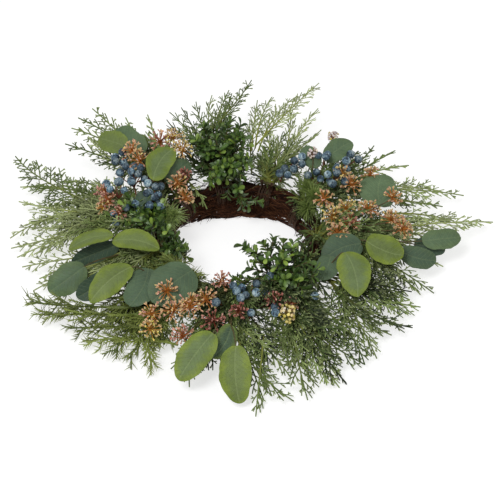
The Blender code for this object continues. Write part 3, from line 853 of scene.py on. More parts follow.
JUNIPER = Habit(
    gaps=(4.2, 1.35),
    angles=(32, 36),
    radii=(1.5, 1.0, 0.75),
    ends=(0.9, 0.75, 0.16),
    stations=(12, 6, 3),
    sides=(5, 4, 3),
    lift=0.5,
    bend=0.1,
    curl=0.2,
    shoots=((14.0, 46.0), (8.0, 13.0)),
    bare=0.06,
    clear=0.4,
)


# The habits of a pick's long sprays and of its short ones.
HABITS = {
    3: (FINE_CEDAR, FINE_CEDAR),
    4: (FINE_CEDAR, THICK_CEDAR),
    6: (CURLY_CEDAR, THICK_CEDAR),
    8: (JUNIPER, JUNIPER),
    9: (CURLY_CEDAR, THICK_CEDAR),
    10: (CURLY_CEDAR, CURLY_CEDAR),
    11: (CURLY_CEDAR, CURLY_CEDAR),
}


SHADE_SPREAD = 0.16


def grow(roll, habit, length, width):
    """A spray in its own plane, from the origin along +X: its stalks, as (path, tone, limb) by level.

    A limb is a side stalk of the main one with all that grows on it."""
    stalks = [[] for _ in habit.radii]

    def stalk(start, turn, reach, level, tone, limb, curl):
        stations = habit.stations[level]
        shares = np.linspace(0, 1, stations)
        turns = turn + (curl + roll.normal(0, habit.bend)) / (1 + level) * shares
        lift = roll.normal(0, habit.lift) if level else 0.0
        step = reach / (stations - 1)
        x = start[0] + step * np.concatenate([[0], np.cumsum(np.cos(turns[:-1]))])
        y = start[1] + step * np.concatenate([[0], np.cumsum(np.sin(turns[:-1]))])
        path = np.stack([x, y, start[2] + lift * reach * shares], -1)
        stalks[level].append((path, tone, limb))
        if level == len(habit.gaps):
            return
        shortest, longest = habit.shoots[level]
        bare = habit.bare if level == 0 else 0.1
        last = max(1 - habit.clear * shortest / reach, 0.45)
        count = max(1, round(reach * (last - bare) / habit.gaps[level]))
        side = roll.choice((-1, 1))
        for number in range(count):
            share = bare + (last - bare) * (number + roll.uniform(0.5, 1.0)) / count
            side = -side
            if level == 0:
                size = width * math.sin(math.pi * share**0.62) ** 0.75
            elif level == 1:
                size = 0.5 * reach * (1 - 0.65 * share)
            else:
                size = 0.45 * reach
            size = min(max(size * roll.uniform(0.72, 1.15), shortest), longest)
            spot = sample(path, shares, share)
            away = math.radians(habit.angles[level] * (1.1 - 0.3 * share) + roll.normal(0, 5))
            child = turns[int(share * (stations - 1))] + side * away
            shade = np.clip(tone + roll.normal(0, SHADE_SPREAD), 0, 1)
            branch = number if level == 0 else limb
            stalk(spot, child, size, level + 1, shade, branch, -side * habit.curl)

    stalk((0.0, 0.0, 0.0), 0.0, length, 0, roll.uniform(0.3, 0.7), -1, 0.0)
    return stalks


def leaf_axes(leaf):
    """A leaf's foot, its directions along, across and off its face, and its length."""
    base, tip = at(*leaf.base), at(*leaf.tip)
    along = unit(tip - base)
    hint = heading(*leaf.faces)
    face = unit(hint - along * (hint @ along))
    return base, along, np.cross(face, along), face, np.linalg.norm(tip - base)


ROOMS = [(leaf_axes(leaf), leaf.width) for leaves in LEAVES.values() for leaf in leaves]
UNDER_LEAF = -4.0
OVER_FLAT_LEAF, OVER_STEEP_LEAF = 24.0, 5.0


def sheltered(points):
    """Which of the points are in the room just over a broad leaf, where no spray may lie."""
    hit = np.zeros(points.shape[:-1], bool)
    for (base, along, across, face, length), width in ROOMS:
        spots = (points - base) @ np.stack([along, across, face]).T
        share = 2 * spots[..., 0] / length - 1
        wide = 2 * spots[..., 1] / width
        depth = OVER_FLAT_LEAF if face[2] > 0.3 else OVER_STEEP_LEAF
        hit |= (share**2 + wide**2 < 1.0) & (spots[..., 2] > UNDER_LEAF) & (spots[..., 2] < depth)
    return hit


def follow(flat, line, arc, side, face):
    """Carries points of a flat spray, (distance, aside, off its face), onto its curved line."""
    inside = np.clip(flat[..., 0], 0, arc[-1])
    spot, aside, off = (sample(table, arc, inside) for table in (line, side, face))
    beyond = (flat[..., 0] - inside)[..., None] * unit(line[-1] - line[-2])
    return spot + beyond + aside * flat[..., 1:2] + off * flat[..., 2:3]


LOWEST = 1.2
DROOP = 0.0035
SPRAY_STATIONS = 24


def spray(skin, roll, habit, root, tip, width, arch, twist, hue):
    """One flat spray along a curved line from its root to its tip, clear of the broad leaves."""
    reach = tip - root
    sway = np.cross(unit(reach), Z_AXIS) * roll.normal(0, habit.bend) * np.linalg.norm(reach)
    controls = (
        root,
        root + reach * 0.33 + Z_AXIS * arch + sway,
        root + reach * 0.7 + Z_AXIS * arch * 0.8 + sway,
        tip,
    )
    line = curve(controls, SPRAY_STATIONS)
    steps = np.linalg.norm(np.diff(line, axis=0), axis=1)
    arc = np.concatenate([[0], np.cumsum(steps)])
    along = unit(np.gradient(line, axis=0))
    level_side = unit(np.cross(along, Z_AXIS))
    level_face = np.cross(level_side, along)
    angles = math.radians(twist) + np.linspace(0, roll.normal(0, 0.3), len(line))
    turn, rise = np.cos(angles)[:, None], np.sin(angles)[:, None]
    side = level_side * turn + level_face * rise
    face = level_face * turn - level_side * rise
    stalks = grow(roll, habit, arc[-1], width)
    levels = len(habit.radii)
    laid = []
    hidden = set()
    end = habit.stations[0]
    for level, members in enumerate(stalks):
        flat = np.array([path for path, _, _ in members])
        flat[..., 2] -= DROOP * flat[..., 1] ** 2
        paths = follow(flat, line, arc, side, face)
        paths[..., 2] = np.maximum(paths[..., 2], LOWEST)
        limbs = np.array([limb for _, _, limb in members])
        laid.append((paths, np.array([tone for _, tone, _ in members]), limbs))
        inside = sheltered(paths)
        if level:
            hidden |= set(limbs[inside.any(axis=1)])
        elif inside.any():
            end = max(int(np.argmax(inside[0])), 2)
        if level == 1:
            hidden |= set(limbs[flat[:, 0, 0] > arc[-1] * (end - 1) / (habit.stations[0] - 1)])
    for level, (paths, tones, limbs) in enumerate(laid):
        keep = ~np.isin(limbs, list(hidden))
        stations = habit.stations[level] if level else end
        shares = np.linspace(0, 1, habit.stations[level])[:stations]
        start = level / levels
        if keep.any():
            # The tip value also sets how much painted highlight the cedar paint gives a twig's end.
            skin.tubes(
                paths[keep, :stations],
                habit.radii[level] + (habit.ends[level] - habit.radii[level]) * shares,
                habit.sides[level],
                tip=start + (1 - start) * shares * (0.55 + 0.45 * level / (levels - 1)),
                tone=tones[keep][:, None],
                hue=hue,
            )


class Lay(NamedTuple):
    """How a kind of spray lies: width and arch over length, twist in degrees, and a tint shift that is
    painted light and shade.
    """

    width: float
    arch: float
    twist: float
    lighter: float


# Painted light and shade: the last value makes the long outer sprays paler, and the fill and most of
# all the collar deep over the ring darker.
OPEN = Lay(0.2, 0.09, 12, 0.12)
FILL = Lay(0.36, 0.14, 22, -0.06)
COLLAR = Lay(0.55, 0.16, 30, -0.22)
TINT_SPREAD = 0.19


def greens(bend, plan, paints):
    """The sprays of one pick: long ones to its tips, shorter ones over them, and a collar."""
    open_habit, thick_habit = HABITS.get(bend.number, (CEDAR, THICK_CEDAR))
    slot = "juniper" if open_habit is JUNIPER else "cedar"
    skin = Skin(bend.name(f"{slot}_sprays"))
    roll = skin.roll
    low, high = plan.sector

    def add(habit, lay, root, tip):
        size = np.linalg.norm(tip - root)
        # The lay's tint shift is painted light and shade: sprays lying deeper come out darker.
        hue = np.clip(plan.tint + lay.lighter + roll.normal(0, TINT_SPREAD), 0, 1)
        twist = roll.normal(0, lay.twist)
        spray(skin, roll, habit, root, tip, lay.width * size, lay.arch * size, twist, hue)

    for radius, azimuth, height, *root in plan.tips:
        start = at(*root) if root else bend.point(30.0, roll.uniform(-4, 4), roll.uniform(-4, 0))
        add(open_habit, OPEN._replace(width=plan.slender), start, at(radius, azimuth, height))
    count, inner, outer, near, far = plan.fill
    for number in range(count):
        azimuth = low + (high - low) * (0.02 + 0.96 * ((0.3 + number * GOLDEN) % 1.0))
        layer = (number + 0.5) / count
        radius = outer + (inner - outer) * layer + roll.uniform(-6, 6)
        height = far + (near - far) * layer + roll.uniform(-5, 5)
        root = bend.point(22.0 - 14 * layer, roll.uniform(-5, 5), 1 + 4 * layer)
        add(thick_habit, FILL, root, at(radius, azimuth, height))
    inner, outer, near, far, count = plan.collar
    for number in range(count):
        azimuth = low + (high - low) * (number + roll.uniform(0.2, 0.8)) / count
        radius = inner + (outer - inner) * ((0.5 + number * GOLDEN) % 1.0)
        root = bend.point(-1.0, roll.uniform(-8, 8), 3.0)
        add(thick_habit, COLLAR, root, at(radius, azimuth, roll.uniform(near, far)))
    nodes = (bend.name("cedar_fronds"), bend.name("juniper_fronds"))
    skin.piece(bend.body, slot, [paints[slot]], *nodes)


# ---------------------------------------------------------------- eucalyptus

LEAF_ROWS = 22
LEAF_COLUMNS = (0.0, 0.05, 0.16, 0.34, 0.54, 0.74, 0.9, 1.0)
LEAF_THICKNESS = 0.5


def blade(skin, leaf):
    """One broad leaf: a cupped, creased blade with a thin edge all round."""
    roll = skin.roll
    base, along, across, face, length = leaf_axes(leaf)
    t = 0.5 - 0.5 * np.cos(math.pi * np.linspace(0.06, 1.0, LEAF_ROWS))
    half = 0.5 * leaf.width * np.maximum(4 * t**0.92 * (1 - t**0.92), 0.002) ** leaf.point
    u = np.array([-c for c in LEAF_COLUMNS[:0:-1]] + list(LEAF_COLUMNS))
    t_grid, u_grid = np.meshgrid(t, u, indexing="ij")
    phase, phase_left, phase_right = roll.uniform(0, TAU, 3)
    left = 1 + 0.035 * np.sin(TAU * 2.1 * t + phase_left) + 0.02 * np.sin(TAU * 5 * t + phase_right)
    right = 1 + 0.035 * np.sin(TAU * 1.7 * t + phase_right) + 0.02 * np.sin(TAU * 6 * t + phase_left)
    aside = u_grid * np.where(u_grid < 0, (half * left)[:, None], (half * right)[:, None])
    sway = roll.uniform(-0.16, 0.16) * leaf.width * 4 * t_grid * (1 - t_grid)
    rise = leaf.arch * 4 * t_grid * (1 - t_grid)
    rise += math.tan(math.radians(leaf.fold)) * np.sqrt(aside**2 + 1.0)
    rise += 0.012 * aside**2 * roll.uniform(-1.0, 0.6)
    rise += roll.uniform(0.5, 1.3) * np.sin(TAU * 1.6 * t_grid + phase) * u_grid * np.abs(u_grid)
    rise -= 0.35 * np.exp(-((aside / 1.1) ** 2))
    middle = base + along * (t_grid * length)[..., None] + across * (aside + sway)[..., None]
    top, under = (
        middle + face * (rise + off * LEAF_THICKNESS)[..., None] for off in (0.5, -0.5)
    )
    margin = np.clip((1 - np.abs(u_grid)) * half[:, None] / (0.36 * leaf.width), 0, 1)
    by_place = {"across": aside, "along": t_grid * length, "edge": margin}
    skin.add(
        np.concatenate([top.reshape(-1, 3), under.reshape(-1, 3)]),
        sheet(*t_grid.shape),
        hue=leaf.tint,
        tone=leaf.rim,
        tip=np.repeat((0.0, 1.0), t_grid.size),
        **{name: np.tile(value.reshape(-1), 2) for name, value in by_place.items()},
    )
    return base + along * (0.02 * length), along


def eucalyptus(skin, root, leaves):
    """The broad leaves of one pick, each on its stalk."""
    for leaf in leaves:
        foot, along = blade(skin, leaf)
        back = foot - along * 0.25 * np.linalg.norm(foot - root)
        path = curve((root, root + (foot - root) * 0.5, back, foot + along * 3), 9)
        skin.tubes([path], np.linspace(0.85, 0.6, 9), 6, 1)


# ---------------------------------------------------------------- berries and seeds

# Heights and radii from the foot of a berry to the pit in its crown.
BERRY_PROFILE = (
    ((-1.0, 0.12), (-0.92, 0.42), (-0.7, 0.74), (-0.35, 0.95), (0.05, 1.0), (0.42, 0.9))
    + ((0.7, 0.68), (0.86, 0.44), (0.97, 0.36), (0.93, 0.27), (0.8, 0.2), (0.78, 0.04))
)
BERRY_TRIES = 400


def berries(skin, root, groups):
    """Clusters of round berries, each on its own stalk."""
    roll = skin.roll
    middles = []
    for radius, azimuth, height, count, spread in groups:
        centre = at(radius, azimuth, height)
        joint = centre - Z_AXIS * 13 - unit(centre - root) * 6
        skin.tubes([bow(root, joint, 3.0)], np.linspace(1.1, 0.8, 8), 6, 1, tone=0.6)
        placed = 0
        for _ in range(BERRY_TRIES):
            offset = unit(roll.normal(0, 1, 3)) * spread * roll.uniform(0, 1) ** 0.5
            middle = centre + offset * (1.0, 1.0, 0.6)
            size = BERRY_RADIUS * roll.uniform(0.88, 1.06)
            if any(np.linalg.norm(middle - other) < 2.02 * BERRY_RADIUS for other in middles):
                continue
            middles.append(middle)
            axis = unit(unit(middle - joint) + roll.normal(0, 0.35, 3))
            profile = [(z * size * 0.95, r * size) for z, r in BERRY_PROFILE]
            skin.lathe(middle, axis, profile, 14, tone=roll.uniform(0, 1))
            foot = middle - axis * size * 0.9
            stalk = curve((joint, joint + Z_AXIS * 4, foot - axis * 4, foot), 6)
            skin.tubes([stalk], np.linspace(0.7, 0.55, 6), 5, 1, tone=1.0)
            placed += 1
            if placed == count:
                break


RAYS = 26
RAY_STATIONS = np.array((0.0, 0.4, 0.76))
RAY_RADII = np.array((0.55, 0.4, 0.45))
BUD_STATIONS = np.array((0.0, 0.4, 0.8, 1.0))
BUD_RADII = np.array((0.4, 0.85, 1.0, 0.4))


def umbel(skin, centre, axis, radius, family):
    """Rays that spread from one point, each with a few small buds or one bead at its end."""
    roll = skin.roll
    buds, width = (1, 2.0) if family in (YELLOW, BLUSH) else (3, 0.74)
    scale = min(1.0, radius / 11.0) ** 0.5
    index = np.arange(RAYS) + 0.5
    rise = 1 - index / RAYS * (1.3 if radius > 8 else 1.7)
    turn = math.pi * (1 + 5**0.5) * index
    flat = np.sqrt(np.maximum(0, 1 - rise**2))
    side, other = beside(axis)
    ways = side * (flat * np.cos(turn))[:, None] + other * (flat * np.sin(turn))[:, None]
    ways = unit(ways + axis * rise[:, None] + roll.normal(0, 0.14, (RAYS, 3)))
    lengths = radius * roll.uniform(0.75, 1.12, RAYS)
    bend = (RAY_STATIONS * (1 - RAY_STATIONS))[None, :, None] * axis * (0.35 * radius)
    paths = centre + ways[:, None] * (lengths[:, None] * RAY_STATIONS)[..., None] + bend
    hues = family / BLUSH + roll.normal(0, 0.05, (RAYS, 1))
    skin.tubes(
        paths,
        RAY_RADII * scale,
        4,
        tip=RAY_STATIONS * 0.4,
        tone=roll.uniform(0.2, 0.9, (RAYS, 1)),
        hue=np.clip(hues, 0, 1),
    )
    many = RAYS * buds
    starts = np.repeat(paths[:, -1], buds, axis=0)
    spread = np.repeat(ways, buds, axis=0) + roll.normal(0, 0.14 * buds, (many, 3))
    reach = np.repeat(lengths, buds) * 0.27
    skin.tubes(
        starts[:, None] + unit(spread)[:, None] * (reach[:, None] * BUD_STATIONS)[..., None],
        BUD_RADII * width * scale,
        5,
        tip=0.66 + 0.34 * BUD_STATIONS,
        tone=roll.uniform(0, 1, (many, 1)),
        hue=np.clip(np.repeat(hues, buds, axis=0) + roll.normal(0, 0.12, (many, 1)), 0, 1),
    )


def seeds(skin, root, places):
    """The seed umbels of one pick on their stalks."""
    for radius, azimuth, height, size, family in places:
        centre = at(radius, azimuth, height - 3)
        axis = unit(unit(centre - root) * 0.5 + Z_AXIS + skin.roll.normal(0, 0.25, 3))
        umbel(skin, centre, axis, 1.12 * size, family)
        path = bow(root, centre - Z_AXIS * 2, 1.0, 10)
        skin.tubes([path], np.linspace(0.9, 0.6, 10), 6, 1)
        skin.tubes([[path[-2], path[-1], centre + axis]], (0.6, 0.8, 0.9), 5, tone=0.4, hue=0.3)


# ---------------------------------------------------------------- boxwood and pine

PETAL_ROWS = (0.0, 0.18, 0.42, 0.7, 0.9, 1.0)
PETAL_WIDTHS = (0.14, 0.36, 0.72, 1.0, 0.84, 0.3)
PETAL_THICKNESS = 0.4


def petal(skin, foot, along, face, length, tone):
    """A small oval leaf with a rounded end, slightly folded along its middle."""
    across = np.cross(face, along)
    points = []
    for share, wide in zip(PETAL_ROWS, PETAL_WIDTHS):
        half = wide * (length * 0.5) * 0.5
        lift = 0.16 * length * share * (1 - share) * 2
        for end in (-1.0, 0.0, 1.0):
            rise = lift + 0.22 * half * abs(end)
            points.append(foot + along * share * length + across * end * half + face * rise)
    points = np.array(points)
    off = face * PETAL_THICKNESS / 2
    skin.add(
        np.concatenate([points + off, points - off]),
        sheet(len(PETAL_ROWS), 3),
        tone=tone,
        edge=np.tile((0.0, 1.0, 0.0), 2 * len(PETAL_ROWS)),
        tip=np.repeat((0.0, 1.0), len(points)),
    )


def leafy(skin, path, pairs, size, tone):
    """Opposite pairs of small leaves along the outer part of a stalk, each pair turned on."""
    roll = skin.roll
    along = unit(np.gradient(path, axis=0))
    marks = np.linspace(0, 1, len(path))
    spin = roll.uniform(0, TAU)
    for number in range(pairs):
        share = 0.3 + 0.66 * number / max(pairs - 1, 1)
        place = sample(path, marks, share)
        way = along[min(int(share * (len(path) - 1)), len(path) - 1)]
        side, other = beside(way)
        spin += math.radians(78)
        for half in (0, math.pi):
            angle = spin + half + roll.normal(0, 0.2)
            outward = side * math.cos(angle) + other * math.sin(angle)
            leaf_along = unit(way * roll.uniform(0.5, 1.0) + outward)
            face = unit(way - leaf_along * (way @ leaf_along))
            length = size * roll.uniform(0.8, 1.15)
            # Painted shade: leaves nearer the foot of the stalk get a darker tone, standing in for the
            # shade inside the sprig.
            shade = np.clip(tone - 0.1 + 0.55 * share + roll.normal(0, 0.2), 0, 1)
            petal(skin, place, leaf_along, face, length, shade)


SPRIG_LEAF, SHOOT_LEAF = 11.0, 9.0


def boxwood(skin, root, sprigs):
    """Leafy sprigs, each with a few side shoots."""
    roll = skin.roll
    shoots, tone, *places = sprigs
    for place in places:
        tip = at(*place)
        reach = np.linalg.norm(tip - root)
        path = bow(root, tip, 0.16 * reach, 10)
        skin.tubes([path], np.linspace(1.1, 0.6, 10), 5, 1)
        leafy(skin, path, max(4, int(reach * 0.66 / 4.4)), SPRIG_LEAF, tone)
        for _ in range(shoots):
            start = path[int(roll.uniform(0.3, 0.8) * 9)]
            way = unit(unit(tip - root) + roll.normal(0, 0.75, 3) + Z_AXIS * 0.35)
            shoot = bow(start, start + way * roll.uniform(12, 22), 3.0, 6)
            skin.tubes([shoot], np.linspace(0.7, 0.5, 6), 5, 1)
            leafy(skin, shoot, 4, SHOOT_LEAF, tone + 0.05)


NEEDLES = 180


def pine(skin, root, places):
    """Tufts of fine needles all round short stalks."""
    roll = skin.roll
    marks = np.linspace(0, 1, 12)
    for place in places:
        tip = at(*place)
        path = bow(root, tip, 8.0, len(marks))
        skin.tubes([path], np.linspace(1.0, 0.6, len(marks)), 5, 1)
        starts = sample(path, marks, np.linspace(0.25, 1.0, NEEDLES))
        spread = unit(roll.normal(0, 1, (NEEDLES, 3)))
        ways = unit(unit(tip - root) * 0.75 + spread)
        ends = starts + ways * roll.uniform(12, 20, (NEEDLES, 1)) - Z_AXIS * 2
        middles = 0.5 * (starts + ends) + Z_AXIS * 1.2
        paths = np.stack([starts, middles, ends], 1)
        tones = roll.uniform(0, 1, (NEEDLES, 1))
        skin.tubes(paths, (0.42, 0.36, 0.12), tip=(0.0, 0.5, 1.0), tone=tones)


# ---------------------------------------------------------------- ring, ties and stems

STRANDS = 3
TWIGS_PER_STRAND = 32
TWIG_STATIONS = 150


def strand_line(index, around, offset=0.0, spin=0.0):
    """The centreline of a strand at angles around the ring, or a line beside it."""
    orbit = BUNDLE_RADIUS - STRAND_RADIUS
    twist = TAU * index / STRANDS + STRAND_TURNS * around
    reach = RING_RADIUS + orbit * np.cos(twist) + offset * np.cos(spin)
    height = RING_CENTRE[2] + orbit * np.sin(twist) + offset * np.sin(spin)
    x = RING_CENTRE[0] + reach * np.cos(around)
    y = RING_CENTRE[1] + reach * np.sin(around)
    return np.stack([x, y, height], -1)


def strand(index, paints):
    """One strand of the ring: a bundle of thin vine twigs twisted about each other."""
    skin = Skin(f"vine_twigs_{index + 1}")
    roll = skin.roll
    around = TAU * np.arange(TWIG_STATIONS) / TWIG_STATIONS
    skin.loop(strand_line(index, around), STRAND_RADIUS - 1.9, 10, tone=0.05)
    for _ in range(TWIGS_PER_STRAND):
        waves = roll.integers(1, 9, 3)
        phases = roll.uniform(0, TAU, 3)
        wander = sum(np.sin(w * around + p) / w**0.5 for w, p in zip(waves, phases))
        offset = STRAND_RADIUS - 1.6 + 0.75 * np.sin(waves[0] * around + phases[1])
        spin = phases[0] + STRAND_TURNS * around + 0.35 * wander + roll.choice((-5, -4, 4, 5)) * around
        size = roll.uniform(0.6, 1.15)
        path = strand_line(index, around, offset, spin)
        path[:, 2] = np.maximum(path[:, 2], size)
        skin.loop(path, size, 5, tone=np.clip(0.4 + 0.25 * wander + roll.normal(0, 0.15), 0, 1))
    skin.piece("root", "vine", [paints["vine"]], f"vine_strand_{index + 1}", crease=70)


def shreds(skin, starts, ends, stray, radii, palest, lowest):
    """Thin bent fibres from starts to ends, none lower than the lowest height."""
    many = len(starts)
    middles = 0.5 * (starts + ends) + skin.roll.normal(0, stray, (many, 3))
    paths = np.stack([starts, middles, ends], 1)
    paths[..., 2] = np.maximum(paths[..., 2], lowest)
    skin.tubes(paths, radii, tone=skin.roll.uniform(palest, 1.0, (many, 1)))


FIBRES = 760
FIBRE_LOWEST = 1.0


def fibres(paints):
    """Loose bark fibres and thin twig ends that stand off the ring."""
    skin = Skin("vine_fibres")
    roll = skin.roll
    turns = roll.uniform(0, TAU, FIBRES)
    spins = roll.uniform(-0.6, 3.8, FIBRES)
    starts = []
    ends = []
    for turn, spin in zip(turns, spins):
        out = np.array((math.cos(turn), math.sin(turn), 0.0))
        tangent = np.array((-math.sin(turn), math.cos(turn), 0.0))
        away = out * math.cos(spin) + Z_AXIS * math.sin(spin)
        start = RING_CENTRE + out * RING_RADIUS + away * (BUNDLE_RADIUS - 1)
        way = unit(away * 0.6 + tangent * roll.choice((-1, 1)) * 1.2 + roll.normal(0, 0.35, 3))
        starts.append(start)
        ends.append(start + way * roll.uniform(6, 17))
    ends = np.array(ends)
    ends[:, 2] = np.maximum(ends[:, 2], FIBRE_LOWEST)
    shreds(skin, np.array(starts), ends, 1.6, (0.34, 0.28, 0.14), 0.3, FIBRE_LOWEST)
    skin.piece("root", "vine", [paints["vine"]])


LOOSE_TWIGS = 120
LOOSE_SHREDS = 2100
LOOSE_STATIONS = 18
BARK_RADIUS = 76.5
BARK_DEPTH = 14.5


def loose(paints):
    """Loosened twigs and shreds of bark that lie inside the back of the ring, low down."""
    skin = Skin("vine_bark")
    roll = skin.roll

    def lie(azimuths, depth, lift):
        """Points from the ring's inner side, at depth 0, to the edge of the bark, at depth 1."""
        swell = np.cos(np.radians(np.clip((azimuths - 90) * 1.5, -90, 90)))
        radii = BARK_RADIUS - BARK_DEPTH * depth * swell
        heights = LOWEST + lift * (2.5 + 17 * (1 - depth * swell))
        return np.stack([at(*place) for place in zip(radii, azimuths, heights)])

    twigs = []
    for _ in range(LOOSE_TWIGS):
        middle, half = 90 + roll.normal(0, 24), roll.uniform(8, 20)
        azimuths = np.linspace(middle - half, middle + half, LOOSE_STATIONS)
        depth = roll.uniform(0, 1) + 0.12 * np.sin(np.linspace(0, roll.uniform(2, 9), LOOSE_STATIONS))
        twigs.append(lie(azimuths, depth, roll.uniform(0.1, 1.0)))
    sizes, tones = (roll.uniform(*limits, (LOOSE_TWIGS, 1)) for limits in ((0.6, 1.2), (0, 0.9)))
    skin.tubes(twigs, sizes, 5, tone=tones)
    depths = roll.uniform(-0.1, 1.05, LOOSE_SHREDS)
    starts = lie(90 + roll.uniform(-60, 60, LOOSE_SHREDS), depths, 1.0)
    tangents = unit(np.cross(Z_AXIS, starts - RING_CENTRE))
    sides = roll.choice((-1, 1), (LOOSE_SHREDS, 1))
    ways = unit(tangents * sides * 1.3 + roll.normal(0, 0.5, (LOOSE_SHREDS, 3)))
    ends = starts + ways * roll.uniform(5, 15, (LOOSE_SHREDS, 1))
    shreds(skin, starts, ends, 1.2, (0.36, 0.3, 0.14), 0.2, LOWEST)
    skin.piece("root", "vine", [paints["vine"]])


WIRE_RADIUS = 0.6
WIRE_TURNS = 9
WIRE_PITCH = 1.75
EYELET_RADIUS = 3.6
EYELETS = (-6.6, -5.4, 5.4, 6.6)


def tie(bend, paints):
    """Turns of binding wire round the ring, and the two eyelets that hold the stem."""
    skin = Skin(bend.name("wire_wraps"))
    roll = skin.roll

    def turn(centre, around, reach, aside):
        """A turn of wire whose plane is across the ring, moved aside along it."""
        path = (
            centre
            + bend.out * (reach * np.cos(around))[:, None]
            + Z_AXIS * (reach * np.sin(around))[:, None]
            + bend.tangent * np.broadcast_to(aside, around.shape)[:, None]
        )
        path[:, 2] = np.maximum(path[:, 2], WIRE_RADIUS)
        skin.loop(path, WIRE_RADIUS, 6)

    around = TAU * np.arange(40) / 40
    for number in range(WIRE_TURNS):
        wave = 0.5 * np.sin(around + roll.uniform(0, TAU))
        aside = (number - WIRE_TURNS // 2) * WIRE_PITCH + wave
        reach = TIE_RADIUS + 0.35 * np.sin(3 * around + roll.uniform(0, TAU))
        turn(RING_CENTRE + bend.out * RING_RADIUS, around, reach, aside)
    for aside in EYELETS:
        turn(bend.origin, TAU * np.arange(20) / 20, EYELET_RADIUS, aside)
    skin.piece("root", "tie_wire", [paints["wire"]], bend.name("wire_tie"))


STEM_STATIONS = 28
STEM_COURSE = ((0, 0, 0), (10, 0, 1.5), (22, 0, 0.0), (32, 0, -3))
KNUCKLE_LENGTH = 17.0


def stem(bend, paints):
    """The tape-wrapped stem of a pick, and its knuckle across the eyelets."""
    skin = Skin(bend.name("taped_stem"))
    shares = np.linspace(0, 1, STEM_STATIONS)
    ridges = 0.16 * np.sin(shares * TAU * 9)
    knuckle = bend.origin + bend.tangent * ((shares - 0.5) * KNUCKLE_LENGTH)[:, None]
    skin.tubes([knuckle], 2.1 + ridges, 10)
    path = curve([bend.point(*spot) for spot in STEM_COURSE], STEM_STATIONS)
    skin.tubes([path], 2.0 - 0.3 * shares + ridges, 10)
    skin.piece(bend.body, "stem", [paints["stalk"]], bend.name("pick_stem"))


# ---------------------------------------------------------------- stage


def aim(thing, place, target):
    """Turns a camera or a light towards a point."""
    way = unit(np.asarray(target, float) - place)
    side = unit(np.cross(way, Z_AXIS))
    up = np.cross(side, way)
    turn = np.eye(4)
    turn[:3, 0], turn[:3, 1], turn[:3, 2], turn[:3, 3] = side, up, -way, place
    thing.matrix_world = Matrix(turn.tolist())


VIEW_ELEVATION = 44.0
VIEW_DISTANCE = 2.1
VIEW_WIDTH = 0.55
VIEW_TARGET = (0.0033, 0.0265, 0.0)


def camera():
    """A long lens at the height from which the wreath is seen."""
    data = bpy.data.cameras.new("camera")
    data.sensor_width = 36.0
    data.lens = data.sensor_width * VIEW_DISTANCE / VIEW_WIDTH
    data.clip_end = 20.0
    made = show("camera", data)
    place = np.array(VIEW_TARGET) + heading(-90, VIEW_ELEVATION) * VIEW_DISTANCE
    aim(made, place, VIEW_TARGET)
    bpy.context.scene.camera = made


def light(name, place, size, power):
    data = bpy.data.lights.new(name, "AREA")
    data.size = size
    data.energy = power
    aim(show(name, data), np.array(place), (0.0, 0.0, 0.03))


WHITE = (1.0, 1.0, 1.0, 1.0)
SKY_STRENGTH = 0.34
FLOOR_SIDE = 12.0
FLOOR_HEIGHT = -0.0006
FLOOR_GLOW = 0.66


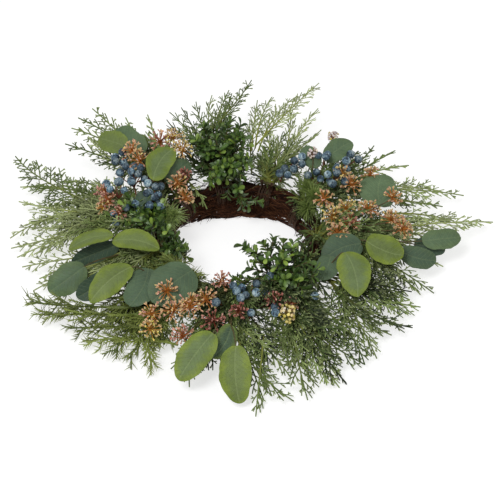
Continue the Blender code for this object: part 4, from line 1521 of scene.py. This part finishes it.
def stage():
    """A pale floor under soft studio light."""
    world = bpy.data.worlds.new("studio")
    bpy.context.scene.world = world
    world.use_nodes = True
    sky = world.node_tree.nodes["Background"].inputs
    sky["Color"].default_value = WHITE
    sky["Strength"].default_value = SKY_STRENGTH
    light("key", (-0.6, -0.9, 1.8), 0.7, 24.0)
    light("fill", (1.3, -0.5, 1.3), 1.2, 5.0)
    light("back", (0.1, 1.4, 1.5), 1.2, 5.0)
    mesh = bpy.data.meshes.new("floor")
    half = FLOOR_SIDE / 2
    corners = [(x * half, y * half, FLOOR_HEIGHT) for x, y in ((-1, -1), (1, -1), (1, 1), (-1, 1))]
    mesh.from_pydata(corners, [], [(0, 1, 2, 3)])
    paint = bpy.data.materials.new("pale_floor")
    paint.use_nodes = True
    looks = paint.node_tree.nodes["Principled BSDF"].inputs
    looks["Base Color"].default_value = (0.45, 0.45, 0.45, 1.0)
    looks["Roughness"].default_value = 0.9
    looks["Emission Color"].default_value = WHITE
    looks["Emission Strength"].default_value = FLOOR_GLOW
    mesh.materials.append(paint)
    floor = show("floor", mesh)
    bpy.context.scene.view_settings.view_transform = "Standard"


# ---------------------------------------------------------------- the wreath


# Each kind of sprig: its piece, its slot and the node it replaces, where its stalks leave the
# stem, its places, and what makes it.
SPRIGS = (
    ("eucalyptus_blades", "eucalyptus", "eucalyptus_leaves", (25.0, -5.2, 2.4), LEAVES, eucalyptus),
    ("blueberries", "berries", "berry_cluster", (17.0, 5.4, 2.6), BERRIES, berries),
    ("seed_heads", "seeds", "seed_umbels", (9.0, 0.0, 5.6), UMBELS, seeds),
    ("boxwood_leaves", "boxwood", "boxwood_sprig", (2.0, 0.0, 5.9), BOXWOOD, boxwood),
    ("pine_needles", "pine", "pine_tuft", (8.0, -5.4, 2.4), PINE, pine),
)


def main():
    stage()
    camera()
    paints = {
        "cedar": cedar_paint(),
        "juniper": juniper_paint(),
        "eucalyptus": leaf_paint(),
        "stalk": stalk_paint(),
        "berries": berry_paint(),
        "seeds": seed_paint(),
        "boxwood": boxwood_paint(),
        "pine": pine_paint(),
        "vine": vine_paint(),
        "wire": wire_paint(),
        "steel": steel_paint(),
    }
    hoop = frame["nodes"]["core_hoop"].data
    hoop.materials.clear()
    hoop.materials.append(paints["steel"])
    for index in range(STRANDS):
        strand(index, paints)
    fibres(paints)
    loose(paints)
    for bend in BENDS:
        tie(bend, paints)
        stem(bend, paints)
        greens(bend, GREENS[bend.number], paints)
        for name, slot, node, root, table, build in SPRIGS:
            if bend.number in table:
                skin = Skin(bend.name(name))
                build(skin, bend.point(*root), table[bend.number])
                materials = [paints[slot], paints["stalk"]]
                skin.piece(bend.body, slot, materials, bend.name(node))


main()
